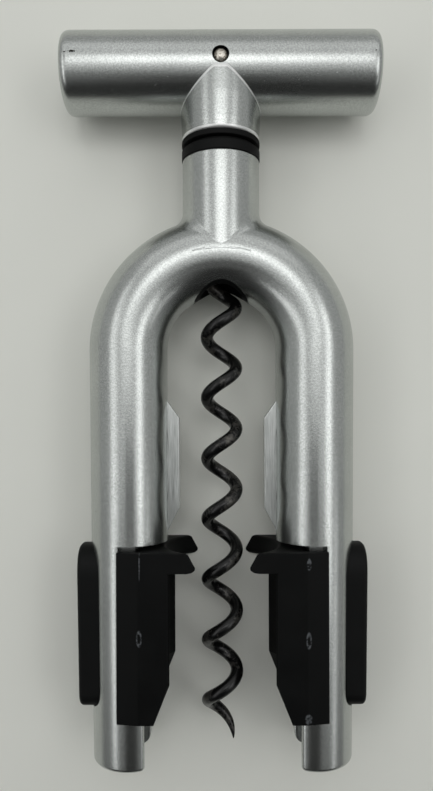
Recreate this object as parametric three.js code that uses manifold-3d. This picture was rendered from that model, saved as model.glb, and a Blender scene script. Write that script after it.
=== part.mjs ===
// Self-pulling corkscrew: a U-shaped frame that stands over a bottle's neck, and a T handle
// whose worm runs down through the frame's neck.
// Millimetres. It lies on its back: X to the right, Y along the worm towards the handle, Z up.
// The pieces are built about the centre of the frame's arch, in the middle plane of the frame.
import * as THREE from "three";
import { mergeVertices } from "three/addons/utils/BufferGeometryUtils.js";
import Module from "manifold-3d";

const wasm = await Module();
wasm.setup();

// Driving sizes of the frame
const tubeRadius = 9;
const archRadius = 21.6;
const legLength = 94.3;
const legEndRadius = 8.65;
const legEndRounding = 1;
const shoulderDrop = 44.1;
const shoulderOverlap = 3;
const legFlatOffset = 2.85;
const legFlatHalfWidth = 4.4;
const legEndHalfWidth = 7.6;
const legEndLean = 7;
const jawRecessFloor = 6.9;
const neckRadius = 8.9;
const neckRise = 13.15;
const neckChamfer = 0.35;
const boreRadius = 6.5;
const lugReach = 1.85;
const lugThickness = 3.2;
const lugEndInset = 3.1;
const lugCornerRadius = 3.4;

// Fits between pieces
const seatGap = 0.3;
const runningGap = 0.1;
const cutOverrun = 2;

// Sleeve in the neck, washer on it
const ringRadius = 9.05;
const flangeThickness = 2.2;
const grooveHeight = 0.9;
const grooveDepth = 1.1;
const washerThickness = 1.3;
const ringEdge = 0.25;

// Handle
const barRadius = 9.1;
const barHalfLength = 36.2;
const barEdgeRounding = 2;
const collarRise = 7;
const collarFootRadius = 8.9;
const collarHeadRadius = 9.4;
const collarTaperHeight = 8.2;
const collarTopDrop = 2.1;
const collarChamfer = 0.4;
const pinRadius = 1.6;
const pinRecessRadius = 1.9;
const pinSink = 0.1;
const pinDome = 0.6;
const tenonRadius = 4;
const tenonReach = 4.4;

// Worm
const wireRadius = 1.45;
const wormRadius = 3.4;
const wormPitch = 14.07;
const wormFrontCrossing = 6.42;
const wormCoilTop = 15.5;
const wormStemStart = 24.5;
const wormStemLength = 11;
const wormEndInset = 13;
const wormTipLength = 10.3;
const wormTipRadius = 0.12;
const wormTipTurnShare = 0.8;
const wormTipEase = 2;
const spindleRadius = 4.85;

// Fins that hold the cork
const finReach = 2.8;
const finThickness = 2;
const finBevel = 0.25;
const finTop = 11.8;
const finBottomGap = 2.1;
const finTopSlope = 4;
const finBottomSlope = 5.4;
const finTang = 2.2;
const finTangInset = 1.8;

// Jaws
const jawTopGap = 1;
const jawBottomInset = 11.8;
const jawOuterReach = 1.65;
const jawRidgeInset = 3.1;
const jawDepth = 11.1;
const jawOuterDepth = 10.3;
const jawWebThickness = 2.45;
const hookThickness = 4.5;
const hookReach = 0.3;
const hookFlare = 0.55;
const hookCorner = 0.6;
const jawChamferHeight = 8.6;
const jawChamferReach = 3.55;
const jawLeadIn = 0.5;

// Squeeze pads, their screws and springs
const squeezeTravel = 1.5;
const padTopGap = 0.65;
const padBottomGap = 0.9;
const padProud = 2.3;
const padTaper = 0.5;
const padFootReach = 5.6;
const padHalfWidth = 5.8;
const padTopRound = 7.5;
const padBottomRound = 4;
const padEndPower = 0.77;
const padBevel = 0.8;
const padBevelShare = 0.3;
const screwShare = 0.26;
const postRadius = 3;
const postReach = 2.6;
const screwRadius = 1.1;
const screwHeadRadius = 2.2;
const screwHeadThickness = 1.2;
const screwHeadSink = 1.5;
const screwDriveRadius = 1;
const screwDriveDepth = 0.7;
const screwLength = 9.5;
const screwTipShare = 0.5;
const springWireRadius = 0.35;
const springRadius = 3.75;
const springCurls = 3;
const springSeatInset = 0.6;

// How finely round shapes are faceted
const roundSides = 32;
const smallSides = 20;
const wireSides = 6;
const springSides = 5;
const stepsPerTurn = 12;
const stepsPerCurl = 8;
const archSteps = 24;
const upperLegSteps = 3;
const legBackSteps = 18;
const legCornerSteps = 7;
const legEndSteps = 4;
const lugCornerSteps = 5;
const padEndSteps = 12;
const barEdgeSteps = 4;
const domeSteps = 3;
const cavitySteps = 6;
const screwDriveSides = 6;

// Places worked out from the sizes, up from the arch's centre or out from the worm
const legEndInset = tubeRadius - legEndRadius;
const innerLeg = archRadius - tubeRadius;
const neckTop = archRadius + tubeRadius + neckRise;
const flangeTop = neckTop + flangeThickness;
const washerBottom = flangeTop + grooveHeight + runningGap;
const washerTop = washerBottom + washerThickness;
const collarBottom = washerTop + runningGap;
const barHeight = collarBottom + collarRise + barRadius;
const collarTop = barHeight - collarTopDrop;
const overallTop = barHeight + barRadius;
const finTip = innerLeg - finReach;
const wormLastLeft = wormEndInset - legLength;

// Places down from the arch's centre or out from the worm
const finBottom = shoulderDrop - finBottomGap;
const lugEnd = legLength - lugEndInset;
const jawTop = shoulderDrop + jawTopGap;
const jawBottom = legLength - jawBottomInset;
const jawChamferTop = jawBottom - jawChamferHeight;
const jawOuter = archRadius + jawOuterReach;
const jawRidge = archRadius - jawRidgeInset;
const jawCavityRadius = legRadiusAt(jawTop) + seatGap;
const jawWeb = legCentreAt(jawBottom) - legFlatOffset - seatGap;
const channelRadius = jawWeb - jawWebThickness;
const hookRadius = innerLeg - hookReach;
const padTop = shoulderDrop + padTopGap;
const padBottom = jawBottom - padBottomGap;
const padOuterTop = archRadius + tubeRadius + padProud;
const padOuterBottom = padOuterTop - padTaper;
const padFoot = archRadius + padFootReach;
const pocketFloor = padFoot - squeezeTravel - seatGap;
const screwInset = screwShare * (padBottom - padTop);
const screwPlaces = [padTop + screwInset, padBottom - screwInset];
const springSeat = archRadius - springSeatInset;

// Radius and centre of a leg at a distance below the arch's centre
function legRadiusAt(drop) {
  return tubeRadius - (legEndInset * Math.max(drop, 0)) / legLength;
}

function legCentreAt(drop) {
  return archRadius - (legEndInset * Math.max(drop, 0)) / legLength;
}

// Turns a closed geometry into a solid that can be joined and cut
function solidOf(geometry) {
  const plain = geometry.index ? geometry.toNonIndexed() : geometry.clone();
  const bare = new THREE.BufferGeometry();
  bare.setAttribute("position", plain.getAttribute("position"));
  const merged = mergeVertices(bare, 1e-5);
  const triVerts = new Uint32Array(merged.index.array);
  const vertProperties = merged.attributes.position.array;
  const made = new wasm.Manifold(new wasm.Mesh({ numProp: 3, vertProperties, triVerts }));
  if (made.volume() > 0) {
    return made;
  }
  for (let i = 0; i < triVerts.length; i += 3) {
    [triVerts[i], triVerts[i + 1]] = [triVerts[i + 1], triVerts[i]];
  }
  return new wasm.Manifold(new wasm.Mesh({ numProp: 3, vertProperties, triVerts }));
}

function geometryOf(solid) {
  const mesh = solid.getMesh();
  const geometry = new THREE.BufferGeometry();
  geometry.setAttribute("position", new THREE.BufferAttribute(new Float32Array(mesh.vertProperties), 3));
  geometry.setIndex(new THREE.BufferAttribute(new Uint32Array(mesh.triVerts), 1));
  geometry.computeVertexNormals();
  return geometry;
}

// A solid through a row of rings, each with the same number of points, closed by a fan at both ends
function loft(rings) {
  const count = rings[0].length;
  const points = rings.flat();
  const index = [];
  for (let ring = 0; ring + 1 < rings.length; ring += 1) {
    for (let i = 0; i < count; i += 1) {
      const a = ring * count + i;
      const b = ring * count + ((i + 1) % count);
      index.push(a, b, a + count);
      index.push(b, b + count, a + count);
    }
  }
  const last = (rings.length - 1) * count;
  for (let i = 1; i + 1 < count; i += 1) {
    index.push(0, i + 1, i);
    index.push(last, last + i, last + i + 1);
  }
  const geometry = new THREE.BufferGeometry().setFromPoints(points);
  geometry.setIndex(index);
  return solidOf(geometry);
}

// A turned solid about Y, from radius and height pairs that start and end on the axis
function turned(pairs, sides = roundSides) {
  const profile = pairs.map(([radius, height]) => new THREE.Vector2(radius, height));
  return solidOf(new THREE.LatheGeometry(profile, sides));
}

// A turned solid about X
function turnedAlongX(pairs, sides = roundSides) {
  const profile = pairs.map(([radius, height]) => new THREE.Vector2(radius, height));
  return solidOf(new THREE.LatheGeometry(profile, sides).rotateZ(-Math.PI / 2));
}

function rodAlongY(radius, low, high, sides = roundSides) {
  return turned([[0, low], [radius, low], [radius, high], [0, high]], sides);
}

function rodAlongX(radius, low, high, height, sides = smallSides) {
  return turnedAlongX([[0, low], [radius, low], [radius, high], [0, high]], sides).translate([0, height, 0]);
}

// A plate outlined in the middle plane and centred on it, with an optional bevel round its faces
function plate(outline, thickness, bevel = 0) {
  const shape = new THREE.Shape(outline.map(([x, y]) => new THREE.Vector2(x, y)));
  const geometry = new THREE.ExtrudeGeometry(shape, {
    depth: thickness - 2 * bevel,
    bevelEnabled: bevel > 0,
    bevelThickness: bevel,
    bevelSize: bevel,
    bevelOffset: -bevel,
    bevelSegments: 1,
  });
  geometry.translate(0, 0, bevel - thickness / 2);
  return solidOf(geometry);
}

// A bar along Y whose section is outlined in X and Z
function barAlongY(outline, low, high) {
  const shape = new THREE.Shape(outline.map(([x, z]) => new THREE.Vector2(x, z)));
  const geometry = new THREE.ExtrudeGeometry(shape, { depth: high - low, bevelEnabled: false });
  geometry.rotateX(-Math.PI / 2);
  geometry.translate(0, low, 0);
  return solidOf(geometry);
}

// Points of an arc, from one angle to another
function arc(centreX, centreY, radius, from, to, steps) {
  const points = [];
  for (let i = 0; i <= steps; i += 1) {
    const angle = from + ((to - from) * i) / steps;
    points.push([centreX + radius * Math.cos(angle), centreY + radius * Math.sin(angle)]);
  }
  return points;
}

// A round ring of the frame's tube: its centre lies in the middle plane, across the given direction
function tubeRing(centreX, centreY, radius, angle) {
  const ring = [];
  for (let i = 0; i < roundSides; i += 1) {
    const turn = (2 * Math.PI * i) / roundSides;
    const out = radius * Math.cos(turn);
    ring.push(
      new THREE.Vector3(
        centreX + out * Math.cos(angle),
        centreY + out * Math.sin(angle),
        radius * Math.sin(turn),
      ),
    );
  }
  return ring;
}

// The bent tube, from the right shoulder over the arch to the left shoulder, or a thinner one inside it
function bentTube(shrink = 0) {
  const rings = [];
  for (let i = 0; i < upperLegSteps; i += 1) {
    const drop = shoulderDrop * (1 - i / upperLegSteps);
    rings.push(tubeRing(legCentreAt(drop), -drop, legRadiusAt(drop) - shrink, 0));
  }
  for (let i = 0; i <= archSteps; i += 1) {
    const angle = (Math.PI * i) / archSteps;
    const [centreX, centreY] = [archRadius * Math.cos(angle), archRadius * Math.sin(angle)];
    rings.push(tubeRing(centreX, centreY, tubeRadius - shrink, angle));
  }
  for (let i = 1; i <= upperLegSteps; i += 1) {
    const drop = (shoulderDrop * i) / upperLegSteps;
    rings.push(tubeRing(-legCentreAt(drop), -drop, legRadiusAt(drop) - shrink, Math.PI));
  }
  return loft(rings);
}

// Section of the right leg below its shoulder: round outside, flat inside with rounded corners
function flatLegRing(centreX, y, radius, flat, halfWidth) {
  const corner = (radius ** 2 - flat ** 2 - halfWidth ** 2) / (2 * (radius - flat));
  const cornerX = corner - flat;
  const meet = Math.atan2(halfWidth, cornerX);
  const outline = [
    ...arc(0, 0, radius, -meet, meet, legBackSteps).slice(0, -1),
    ...arc(cornerX, halfWidth, corner, meet, Math.PI, legCornerSteps),
    ...arc(cornerX, -halfWidth, corner, Math.PI, 2 * Math.PI - meet, legCornerSteps).slice(0, -1),
  ];
  return outline.map(([x, z]) => new THREE.Vector3(centreX + x, y, z));
}

// The right leg inside its jaw, with a recess before and behind for the jaw's walls
function heldLeg() {
  const ringAt = (drop) => {
    return flatLegRing(legCentreAt(drop), -drop, legRadiusAt(drop), legFlatOffset, legFlatHalfWidth);
  };
  const leg = loft([ringAt(shoulderDrop - shoulderOverlap), ringAt(jawBottom + 2 * seatGap)]);
  const wall = jawOuter - seatGap;
  const recess = barAlongY(
    [
      [0, jawRecessFloor],
      [wall, jawRecessFloor],
      [wall, tubeRadius + cutOverrun],
      [0, tubeRadius + cutOverrun],
    ],
    -jawBottom - seatGap,
    -shoulderDrop,
  );
  return leg.subtract(recess).subtract(recess.mirror([0, 0, 1]));
}

// The right leg below its jaw: its flat is wider and leans towards the front, its end is rounded
function bareLeg() {
  const roundStart = legLength - legEndRounding;
  const lean = (legEndLean * Math.PI) / 180;
  const rings = [];
  const place = (drop, shrink) => {
    const radius = legRadiusAt(drop) - shrink;
    const share = radius / legRadiusAt(drop);
    const ring = flatLegRing(0, -drop, radius, legFlatOffset - shrink, legEndHalfWidth * share);
    const leaning = ring.map((point) => point.applyAxisAngle(new THREE.Vector3(0, 1, 0), -lean));
    rings.push(leaning.map((point) => point.setX(point.x + legCentreAt(drop))));
  };
  place(jawBottom + seatGap, 0);
  for (let i = 0; i <= legEndSteps; i += 1) {
    const angle = (Math.PI / 2) * (i / legEndSteps);
    place(roundStart + legEndRounding * Math.sin(angle), legEndRounding * (1 - Math.cos(angle)));
  }
  return loft(rings);
}

// The lug that keeps the right jaw from sliding off the leg
function jawLug() {
  const flat = legCentreAt(lugEnd) - legFlatOffset;
  const face = flat - lugReach;
  const top = -jawBottom - seatGap;
  const corner = Math.min(lugCornerRadius, lugReach);
  const outline = [
    [flat + lugReach, top],
    [face, top],
    ...arc(face + corner, -lugEnd + lugCornerRadius, corner, Math.PI, 1.5 * Math.PI, lugCornerSteps),
    [flat + lugReach, -lugEnd],
  ];
  return plate(outline, lugThickness);
}

// The frame's neck, from inside the arch's tube to its chamfered top
function neck() {
  return turned([
    [0, archRadius],
    [neckRadius, archRadius],
    [neckRadius, neckTop - neckChamfer],
    [neckRadius - neckChamfer, neckTop],
    [0, neckTop],
  ]);
}

// Outline of the right pad as the finger meets it, in Z and Y: straight sides and squarish round ends
function padOutline(grow) {
  const half = padHalfWidth + grow;
  const square = (value) => Math.sign(value) * Math.abs(value) ** padEndPower;
  const upper = arc(0, 0, 1, 0, Math.PI, padEndSteps).map(([z, y]) => [square(z), square(y)]);
  const lower = arc(0, 0, 1, Math.PI, 2 * Math.PI, padEndSteps).map(([z, y]) => [square(z), square(y)]);
  return [
    ...upper.map(([z, y]) => [half * z, -padTop - padTopRound + (padTopRound + grow) * y]),
    ...lower.map(([z, y]) => [half * z, -padBottom + padBottomRound + (padBottomRound + grow) * y]),
  ];
}

// A ring of the pad's outline at a distance out from the worm, which may change along the leg
function padRing(grow, reachAt) {
  return padOutline(grow).map(([z, y]) => new THREE.Vector3(reachAt(y), y, z));
}

// How far out the pad's finger face lies
function padFaceAt(y) {
  return padOuterTop + ((padOuterBottom - padOuterTop) * (-y - padTop)) / (padBottom - padTop);
}

// What is cut out of the right leg: the pad's pocket, and for each screw a hole and a spring seat
function legCuts() {
  const pocket = loft([padRing(seatGap, () => pocketFloor), padRing(seatGap, () => padOuterTop)]);
  let cuts = pocket;
  for (const place of screwPlaces) {
    const hole = rodAlongX(postRadius + seatGap, innerLeg, pocketFloor, -place);
    const seatRadius = springRadius + springWireRadius + seatGap;
    const seat = rodAlongX(seatRadius, springSeat, padFoot, -place);
    cuts = cuts.add(hole).add(seat);
  }
  const slot = plate(
    [
      [innerLeg - cutOverrun, -finTop - finTangInset + seatGap],
      [innerLeg - cutOverrun, -finBottom + finTangInset - seatGap],
      [innerLeg + finTang + seatGap, -finBottom + finTangInset - seatGap],
      [innerLeg + finTang + seatGap, -finTop - finTangInset + seatGap],
    ],
    finThickness + 2 * seatGap,
  );
  return cuts.add(slot);
}

function halfTurn(solid) {
  return solid.rotate([0, 180, 0]);
}

function frameCasting() {
  const leg = heldLeg().add(bareLeg()).add(jawLug());
  const cuts = legCuts();
  const bore = rodAlongY(boreRadius, innerLeg - 2 * cutOverrun, neckTop + cutOverrun);
  return bentTube()
    .add(leg)
    .add(leg.mirror([1, 0, 0]))
    .add(neck())
    .subtract(cuts)
    .subtract(halfTurn(cuts))
    .subtract(bore);
}

// Bush in the neck: its flange covers the neck's top, the washer sits on its shoulder, and its foot
// is trimmed to follow the arch's underside
function neckSleeve() {
  const outer = boreRadius - seatGap;
  const inner = spindleRadius + seatGap;
  const shoulder = ringRadius - grooveDepth;
  const shell = turned([
    [0, 0],
    [outer, 0],
    [outer, neckTop],
    [ringRadius - ringEdge, neckTop],
    [ringRadius, neckTop + ringEdge],
    [ringRadius, flangeTop - ringEdge],
    [ringRadius - ringEdge, flangeTop],
    [shoulder, flangeTop],
    [shoulder, flangeTop + grooveHeight],
    [0, flangeTop + grooveHeight],
  ]);
  const withinFrame = bentTube(seatGap).add(rodAlongY(ringRadius + cutOverrun, archRadius, washerTop));
  return shell.intersect(withinFrame).subtract(rodAlongY(inner, -cutOverrun, washerTop));
}

function thrustWasher() {
  const ring = turned([
    [0, washerBottom],
    [ringRadius - ringEdge, washerBottom],
    [ringRadius, washerBottom + ringEdge],
    [ringRadius, washerTop - ringEdge],
    [ringRadius - ringEdge, washerTop],
    [0, washerTop],
  ]);
  return ring.subtract(rodAlongY(spindleRadius + seatGap, neckTop, collarBottom));
}

// The cross bar, drilled for the spindle's tenon and the pin
function handleBar() {
  const end = arc(0, 0, barEdgeRounding, 0, Math.PI / 2, barEdgeSteps);
  const flat = barRadius - barEdgeRounding;
  const right = end.map(([out, along]) => [flat + out, barHalfLength - barEdgeRounding + along]);
  const left = right.map(([radius, along]) => [radius, -along]).reverse();
  const bar = turnedAlongX([[0, -barHalfLength], ...left, ...right, [0, barHalfLength]]);
  const socket = rodAlongY(
    tenonRadius + seatGap,
    barHeight - barRadius - cutOverrun,
    barHeight + tenonReach + seatGap,
  );
  return bar.translate([0, barHeight, 0]).subtract(socket).subtract(pinHole(pinRecessRadius));
}

function pinHole(radius) {
  const depth = barRadius + cutOverrun;
  const hole = turned([[0, -depth], [radius, -depth], [radius, depth], [0, depth]], smallSides);
  return hole.rotate([90, 0, 0]).translate([0, barHeight, 0]);
}

// The stem under the bar: its top is cut to a saddle that fits the bar
function handleCollar() {
  const head = collarBottom + collarTaperHeight;
  const stem = turned([
    [0, collarBottom],
    [collarFootRadius - collarChamfer, collarBottom],
    [collarFootRadius, collarBottom + collarChamfer],
    [collarHeadRadius, head],
    [collarHeadRadius, collarTop],
    [0, collarTop],
  ]);
  const along = barHalfLength;
  const saddle = rodAlongX(barRadius + seatGap, -along, along, barHeight, roundSides);
  const bore = rodAlongY(spindleRadius + seatGap, collarBottom - cutOverrun, barHeight);
  return stem.subtract(saddle).subtract(bore);
}

function crossPin() {
  const end = barRadius - pinSink;
  const crown = end - pinDome;
  const quarter = arc(0, 0, 1, 0, Math.PI / 2, domeSteps);
  const dome = quarter.map(([out, up]) => [pinRadius * out, crown + pinDome * up]);
  const foot = dome.map(([out, up]) => [out, -up]).reverse();
  dome[dome.length - 1] = [0, end];
  foot[0] = [0, -end];
  return turned([...foot, ...dome], smallSides).rotate([90, 0, 0]).translate([0, barHeight, 0]);
}

// Steel rod from the worm's stem up into the bar
function spindle() {
  const bearing = barHeight - barRadius - seatGap;
  const rod = turned([
    [0, wormStemStart],
    [spindleRadius, wormStemStart],
    [spindleRadius, bearing],
    [tenonRadius, bearing],
    [tenonRadius, barHeight + tenonReach],
    [0, barHeight + tenonReach],
  ]);
  const top = wormStemStart + wormStemLength + seatGap;
  const socket = rodAlongY(wireRadius + seatGap, wormStemStart - cutOverrun, top, smallSides);
  return rod.subtract(socket).subtract(pinHole(pinRadius + seatGap));
}

// A wire of round rings along a row of stations: centre, outward direction, wire radius
function wire(stations, sides) {
  const rings = stations.map(({ centre, out, radius }, i) => {
    const before = stations[Math.max(i - 1, 0)].centre;
    const after = stations[Math.min(i + 1, stations.length - 1)].centre;
    const ahead = after.clone().sub(before).normalize();
    const across = new THREE.Vector3().crossVectors(ahead, out).normalize();
    const side = new THREE.Vector3().crossVectors(across, ahead).normalize();
    const ring = [];
    for (let k = 0; k < sides; k += 1) {
      const angle = (2 * Math.PI * k) / sides;
      const point = centre.clone();
      point.addScaledVector(side, radius * Math.cos(angle));
      point.addScaledVector(across, radius * Math.sin(angle));
      ring.push(point);
    }
    return ring;
  });
  return loft(rings);
}

// Least gap of a wound wire to itself, past the given number of neighbouring stations
function leastGap(stations, neighbours, radius) {
  let least = Infinity;
  for (let i = 0; i < stations.length; i += 1) {
    for (let j = i + neighbours; j < stations.length; j += 1) {
      least = Math.min(least, stations[i].centre.distanceTo(stations[j].centre));
    }
  }
  return least - 2 * radius;
}

// The worm climbs with a right-hand turn. Its stem lies on the axis, eases out to the coil, and
// the last half turn stretches and thins to a point.
function wormStations() {
  const stations = [];
  const place = (height, turn, reach, radius) => {
    const out = new THREE.Vector3(Math.sin(turn), 0, Math.cos(turn));
    const centre = out.clone().multiplyScalar(reach);
    centre.y = height;
    stations.push({ centre, out, radius });
  };
  const turnAt = (height) => (2 * Math.PI * (height - wormFrontCrossing)) / wormPitch;
  const rise = wormPitch / stepsPerTurn;
  const stemTurn = turnAt(wormStemStart);
  place(wormStemStart + wormStemLength, stemTurn, 0, wireRadius);
  const easeSteps = Math.ceil((wormStemStart - wormCoilTop) / rise);
  for (let i = 0; i < easeSteps; i += 1) {
    const share = i / easeSteps;
    const height = wormStemStart + (wormCoilTop - wormStemStart) * share;
    const reach = wormRadius * share * share * (3 - 2 * share);
    place(height, turnAt(height), reach, wireRadius);
  }
  const coilSteps = Math.ceil((wormCoilTop - wormLastLeft) / rise);
  for (let i = 0; i < coilSteps; i += 1) {
    const height = wormCoilTop + ((wormLastLeft - wormCoilTop) * i) / coilSteps;
    place(height, turnAt(height), wormRadius, wireRadius);
  }
  const tipSteps = stepsPerTurn;
  for (let i = 0; i <= tipSteps; i += 1) {
    const share = i / tipSteps;
    const turn = turnAt(wormLastLeft) - Math.PI * wormTipTurnShare * (1 - (1 - share) ** wormTipEase);
    const thin = wireRadius + (wormTipRadius - wireRadius) * share * share;
    place(wormLastLeft - wormTipLength * share, turn, wormRadius, thin);
  }
  return stations;
}

function worm() {
  const stations = wormStations();
  const gap = leastGap(stations, stepsPerTurn / 2, wireRadius);
  console.log("worm: least gap to itself", gap.toFixed(2), "mm");
  return wire(stations, wireSides);
}

// The right fin, with a tang that sits in the leg's slot
function corkFin() {
  const root = innerLeg - seatGap;
  const outline = [
    [root, -finTop],
    [finTip, -finTop - finTopSlope],
    [finTip, -finBottom + finBottomSlope],
    [root, -finBottom],
    [root, -finBottom + finTangInset],
    [innerLeg + finTang, -finBottom + finTangInset],
    [innerLeg + finTang, -finTop - finTangInset],
    [root, -finTop - finTangInset],
  ];
  return plate(outline, finThickness, finBevel);
}

// The right jaw: a clip round the leg, with a channel for the bottle's neck and hooks over its lip
function jaw() {
  const block = barAlongY(
    [
      [0, -jawDepth],
      [jawRidge, -jawDepth],
      [jawOuter, -jawOuterDepth],
      [jawOuter, jawOuterDepth],
      [jawRidge, jawDepth],
      [0, jawDepth],
    ],
    -jawBottom,
    -jawTop,
  );
  const centre = legCentreAt(jawTop);
  const meet = Math.acos((jawWeb - centre) / jawCavityRadius);
  const outside = centre + tubeRadius;
  const cavity = barAlongY(
    [
      [outside, -jawCavityRadius],
      [outside, jawCavityRadius],
      ...arc(centre, 0, jawCavityRadius, Math.PI / 2, meet, cavitySteps),
      ...arc(centre, 0, jawCavityRadius, 2 * Math.PI - meet, 1.5 * Math.PI, cavitySteps),
    ],
    -jawBottom - cutOverrun,
    -jawTop + cutOverrun,
  );
  const hookBottom = -jawTop - hookThickness;
  const passage = turned(
    [
      [0, -jawBottom - cutOverrun],
      [channelRadius, -jawBottom - cutOverrun],
      [channelRadius, hookBottom],
      [hookRadius + hookCorner, hookBottom],
      [hookRadius, hookBottom + hookCorner],
      [hookRadius, hookBottom + 2 * hookCorner],
      [hookRadius + hookFlare, -jawTop],
      [hookRadius + hookFlare, -jawTop + cutOverrun],
      [0, -jawTop + cutOverrun],
    ],
    2 * roundSides,
  );
  const leadStart = jawDepth - jawLeadIn;
  const flangeEdge = Math.sqrt(channelRadius ** 2 - leadStart ** 2);
  const leadIn = barAlongY(
    [
      [flangeEdge - jawLeadIn, leadStart - jawLeadIn],
      [flangeEdge + 2 * jawLeadIn, leadStart + 2 * jawLeadIn],
      [flangeEdge - jawLeadIn, leadStart + 2 * jawLeadIn],
    ],
    -jawBottom - cutOverrun,
    hookBottom,
  );
  const slope = plate(
    [
      [0, -jawChamferTop],
      [flangeEdge, -jawChamferTop],
      [flangeEdge + jawChamferReach, -jawBottom],
      [flangeEdge + jawChamferReach, -jawBottom - cutOverrun],
      [0, -jawBottom - cutOverrun],
    ],
    2 * (jawDepth + cutOverrun),
  );
  let made = block.subtract(cavity).subtract(passage).subtract(slope);
  made = made.subtract(leadIn).subtract(leadIn.mirror([0, 0, 1]));
  for (const place of screwPlaces) {
    const post = rodAlongX(postRadius, jawWeb - seatGap, jawWeb + postReach, -place);
    const hole = rodAlongX(screwRadius + seatGap, channelRadius - cutOverrun, padFoot, -place);
    const headSeat = channelRadius + screwHeadSink + seatGap;
    const headHole = rodAlongX(screwHeadRadius + seatGap, channelRadius - cutOverrun, headSeat, -place);
    made = made.add(post).subtract(hole).subtract(headHole);
  }
  return made;
}

// The right pad, with a boss for each screw
function squeezePad() {
  let made = loft([
    padRing(0, () => padFoot),
    padRing(0, (y) => padFaceAt(y) - padBevel),
    padRing(-padBevel * padBevelShare, (y) => padFaceAt(y) - padBevel * padBevelShare),
    padRing(-padBevel, padFaceAt),
  ]);
  const bossEnd = jawWeb + postReach + seatGap;
  for (const place of screwPlaces) {
    const boss = rodAlongX(postRadius, bossEnd, padFoot + padBevel, -place);
    const tip = channelRadius + screwHeadSink + screwLength;
    const hole = rodAlongX(screwRadius + seatGap, bossEnd - cutOverrun, tip + seatGap, -place);
    made = made.add(boss).subtract(hole);
  }
  return made;
}

// A screw that goes in from the bottle's side
function jawScrew(place) {
  const face = channelRadius + screwHeadSink - screwHeadThickness;
  const underHead = channelRadius + screwHeadSink;
  const tip = underHead + screwLength;
  const body = turnedAlongX(
    [
      [0, face],
      [screwHeadRadius, face],
      [screwHeadRadius, underHead],
      [screwRadius, underHead],
      [screwRadius, tip - screwRadius],
      [screwRadius * screwTipShare, tip],
      [0, tip],
    ],
    smallSides,
  );
  const drive = turnedAlongX(
    [
      [0, face - cutOverrun],
      [screwDriveRadius, face - cutOverrun],
      [screwDriveRadius, face + screwDriveDepth],
      [0, face + screwDriveDepth],
    ],
    screwDriveSides,
  );
  return body.subtract(drive).translate([0, -place, 0]);
}

// A spring between the leg's seat and the pad's inner face, round the pad's boss
function springStations() {
  const start = springSeat + seatGap + springWireRadius;
  const end = padFoot - seatGap - springWireRadius;
  const steps = springCurls * stepsPerCurl;
  const stations = [];
  for (let i = 0; i <= steps; i += 1) {
    const turn = (2 * Math.PI * i) / stepsPerCurl;
    const out = new THREE.Vector3(0, Math.cos(turn), Math.sin(turn));
    const centre = out.clone().multiplyScalar(springRadius);
    centre.x = start + ((end - start) * i) / steps;
    stations.push({ centre, out, radius: springWireRadius });
  }
  return stations;
}

function padSpring(place) {
  const stations = springStations();
  const gap = leastGap(stations, stepsPerCurl / 2, springWireRadius);
  console.log("spring: least gap to itself", gap.toFixed(2), "mm");
  return wire(stations, springSides).translate([0, -place, 0]);
}

// Finishes
const satinMetal = { color: 0xa9abad, roughness: 0.32, metalness: 1 };
const brushedMetal = { color: 0xb4b6b8, roughness: 0.38, metalness: 1 };
const blackPlastic = { color: 0x17181a, roughness: 0.55, metalness: 0 };
const blackRubber = { color: 0x101112, roughness: 0.7, metalness: 0 };
const coatedSteel = { color: 0x1c1d1e, roughness: 0.35, metalness: 0.4 };
const brightSteel = { color: 0xc3c5c8, roughness: 0.25, metalness: 1 };

const model = new THREE.Group();
model.position.set(0, (legLength - overallTop) / 2, jawDepth);

function addPiece(name, solid, finish, turn = 0) {
  const mesh = new THREE.Mesh(geometryOf(solid), new THREE.MeshStandardMaterial(finish));
  mesh.name = name;
  mesh.rotation.y = turn;
  model.add(mesh);
}

addPiece("frame_casting", frameCasting(), satinMetal);
addPiece("neck_sleeve", neckSleeve(), blackPlastic);
addPiece("thrust_washer", thrustWasher(), blackRubber);
addPiece("handle_bar", handleBar(), satinMetal);
addPiece("handle_collar", handleCollar(), satinMetal);
addPiece("cross_pin", crossPin(), brightSteel);
addPiece("spindle", spindle(), brightSteel);
addPiece("worm", worm(), coatedSteel);

for (const [side, turn] of [["right", 0], ["left", Math.PI]]) {
  addPiece(`${side}_cork_fin`, corkFin(), brushedMetal, turn);
  addPiece(`${side}_jaw`, jaw(), blackPlastic, turn);
  addPiece(`${side}_squeeze_pad`, squeezePad(), blackPlastic, turn);
  ["upper", "lower"].forEach((level, i) => {
    addPiece(`${side}_${level}_jaw_screw`, jawScrew(screwPlaces[i]), brightSteel, turn);
    addPiece(`${side}_${level}_pad_spring`, padSpring(screwPlaces[i]), brightSteel, turn);
  });
}

export default model;
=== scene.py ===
# %% [markdown]
# A self-pulling corkscrew, dressed for its portrait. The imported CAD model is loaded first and
# stays the measure of everything: each piece made here takes the place of one CAD node, sits
# where that node sits and moves with the same body. Lengths below are in millimetres, from the
# centre of the frame's arch, as the maker's drawing has them: X to the right, Y along the worm
# towards the handle, Z up from the middle plane. One function turns them into the scene's metres.

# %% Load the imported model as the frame
import math

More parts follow.
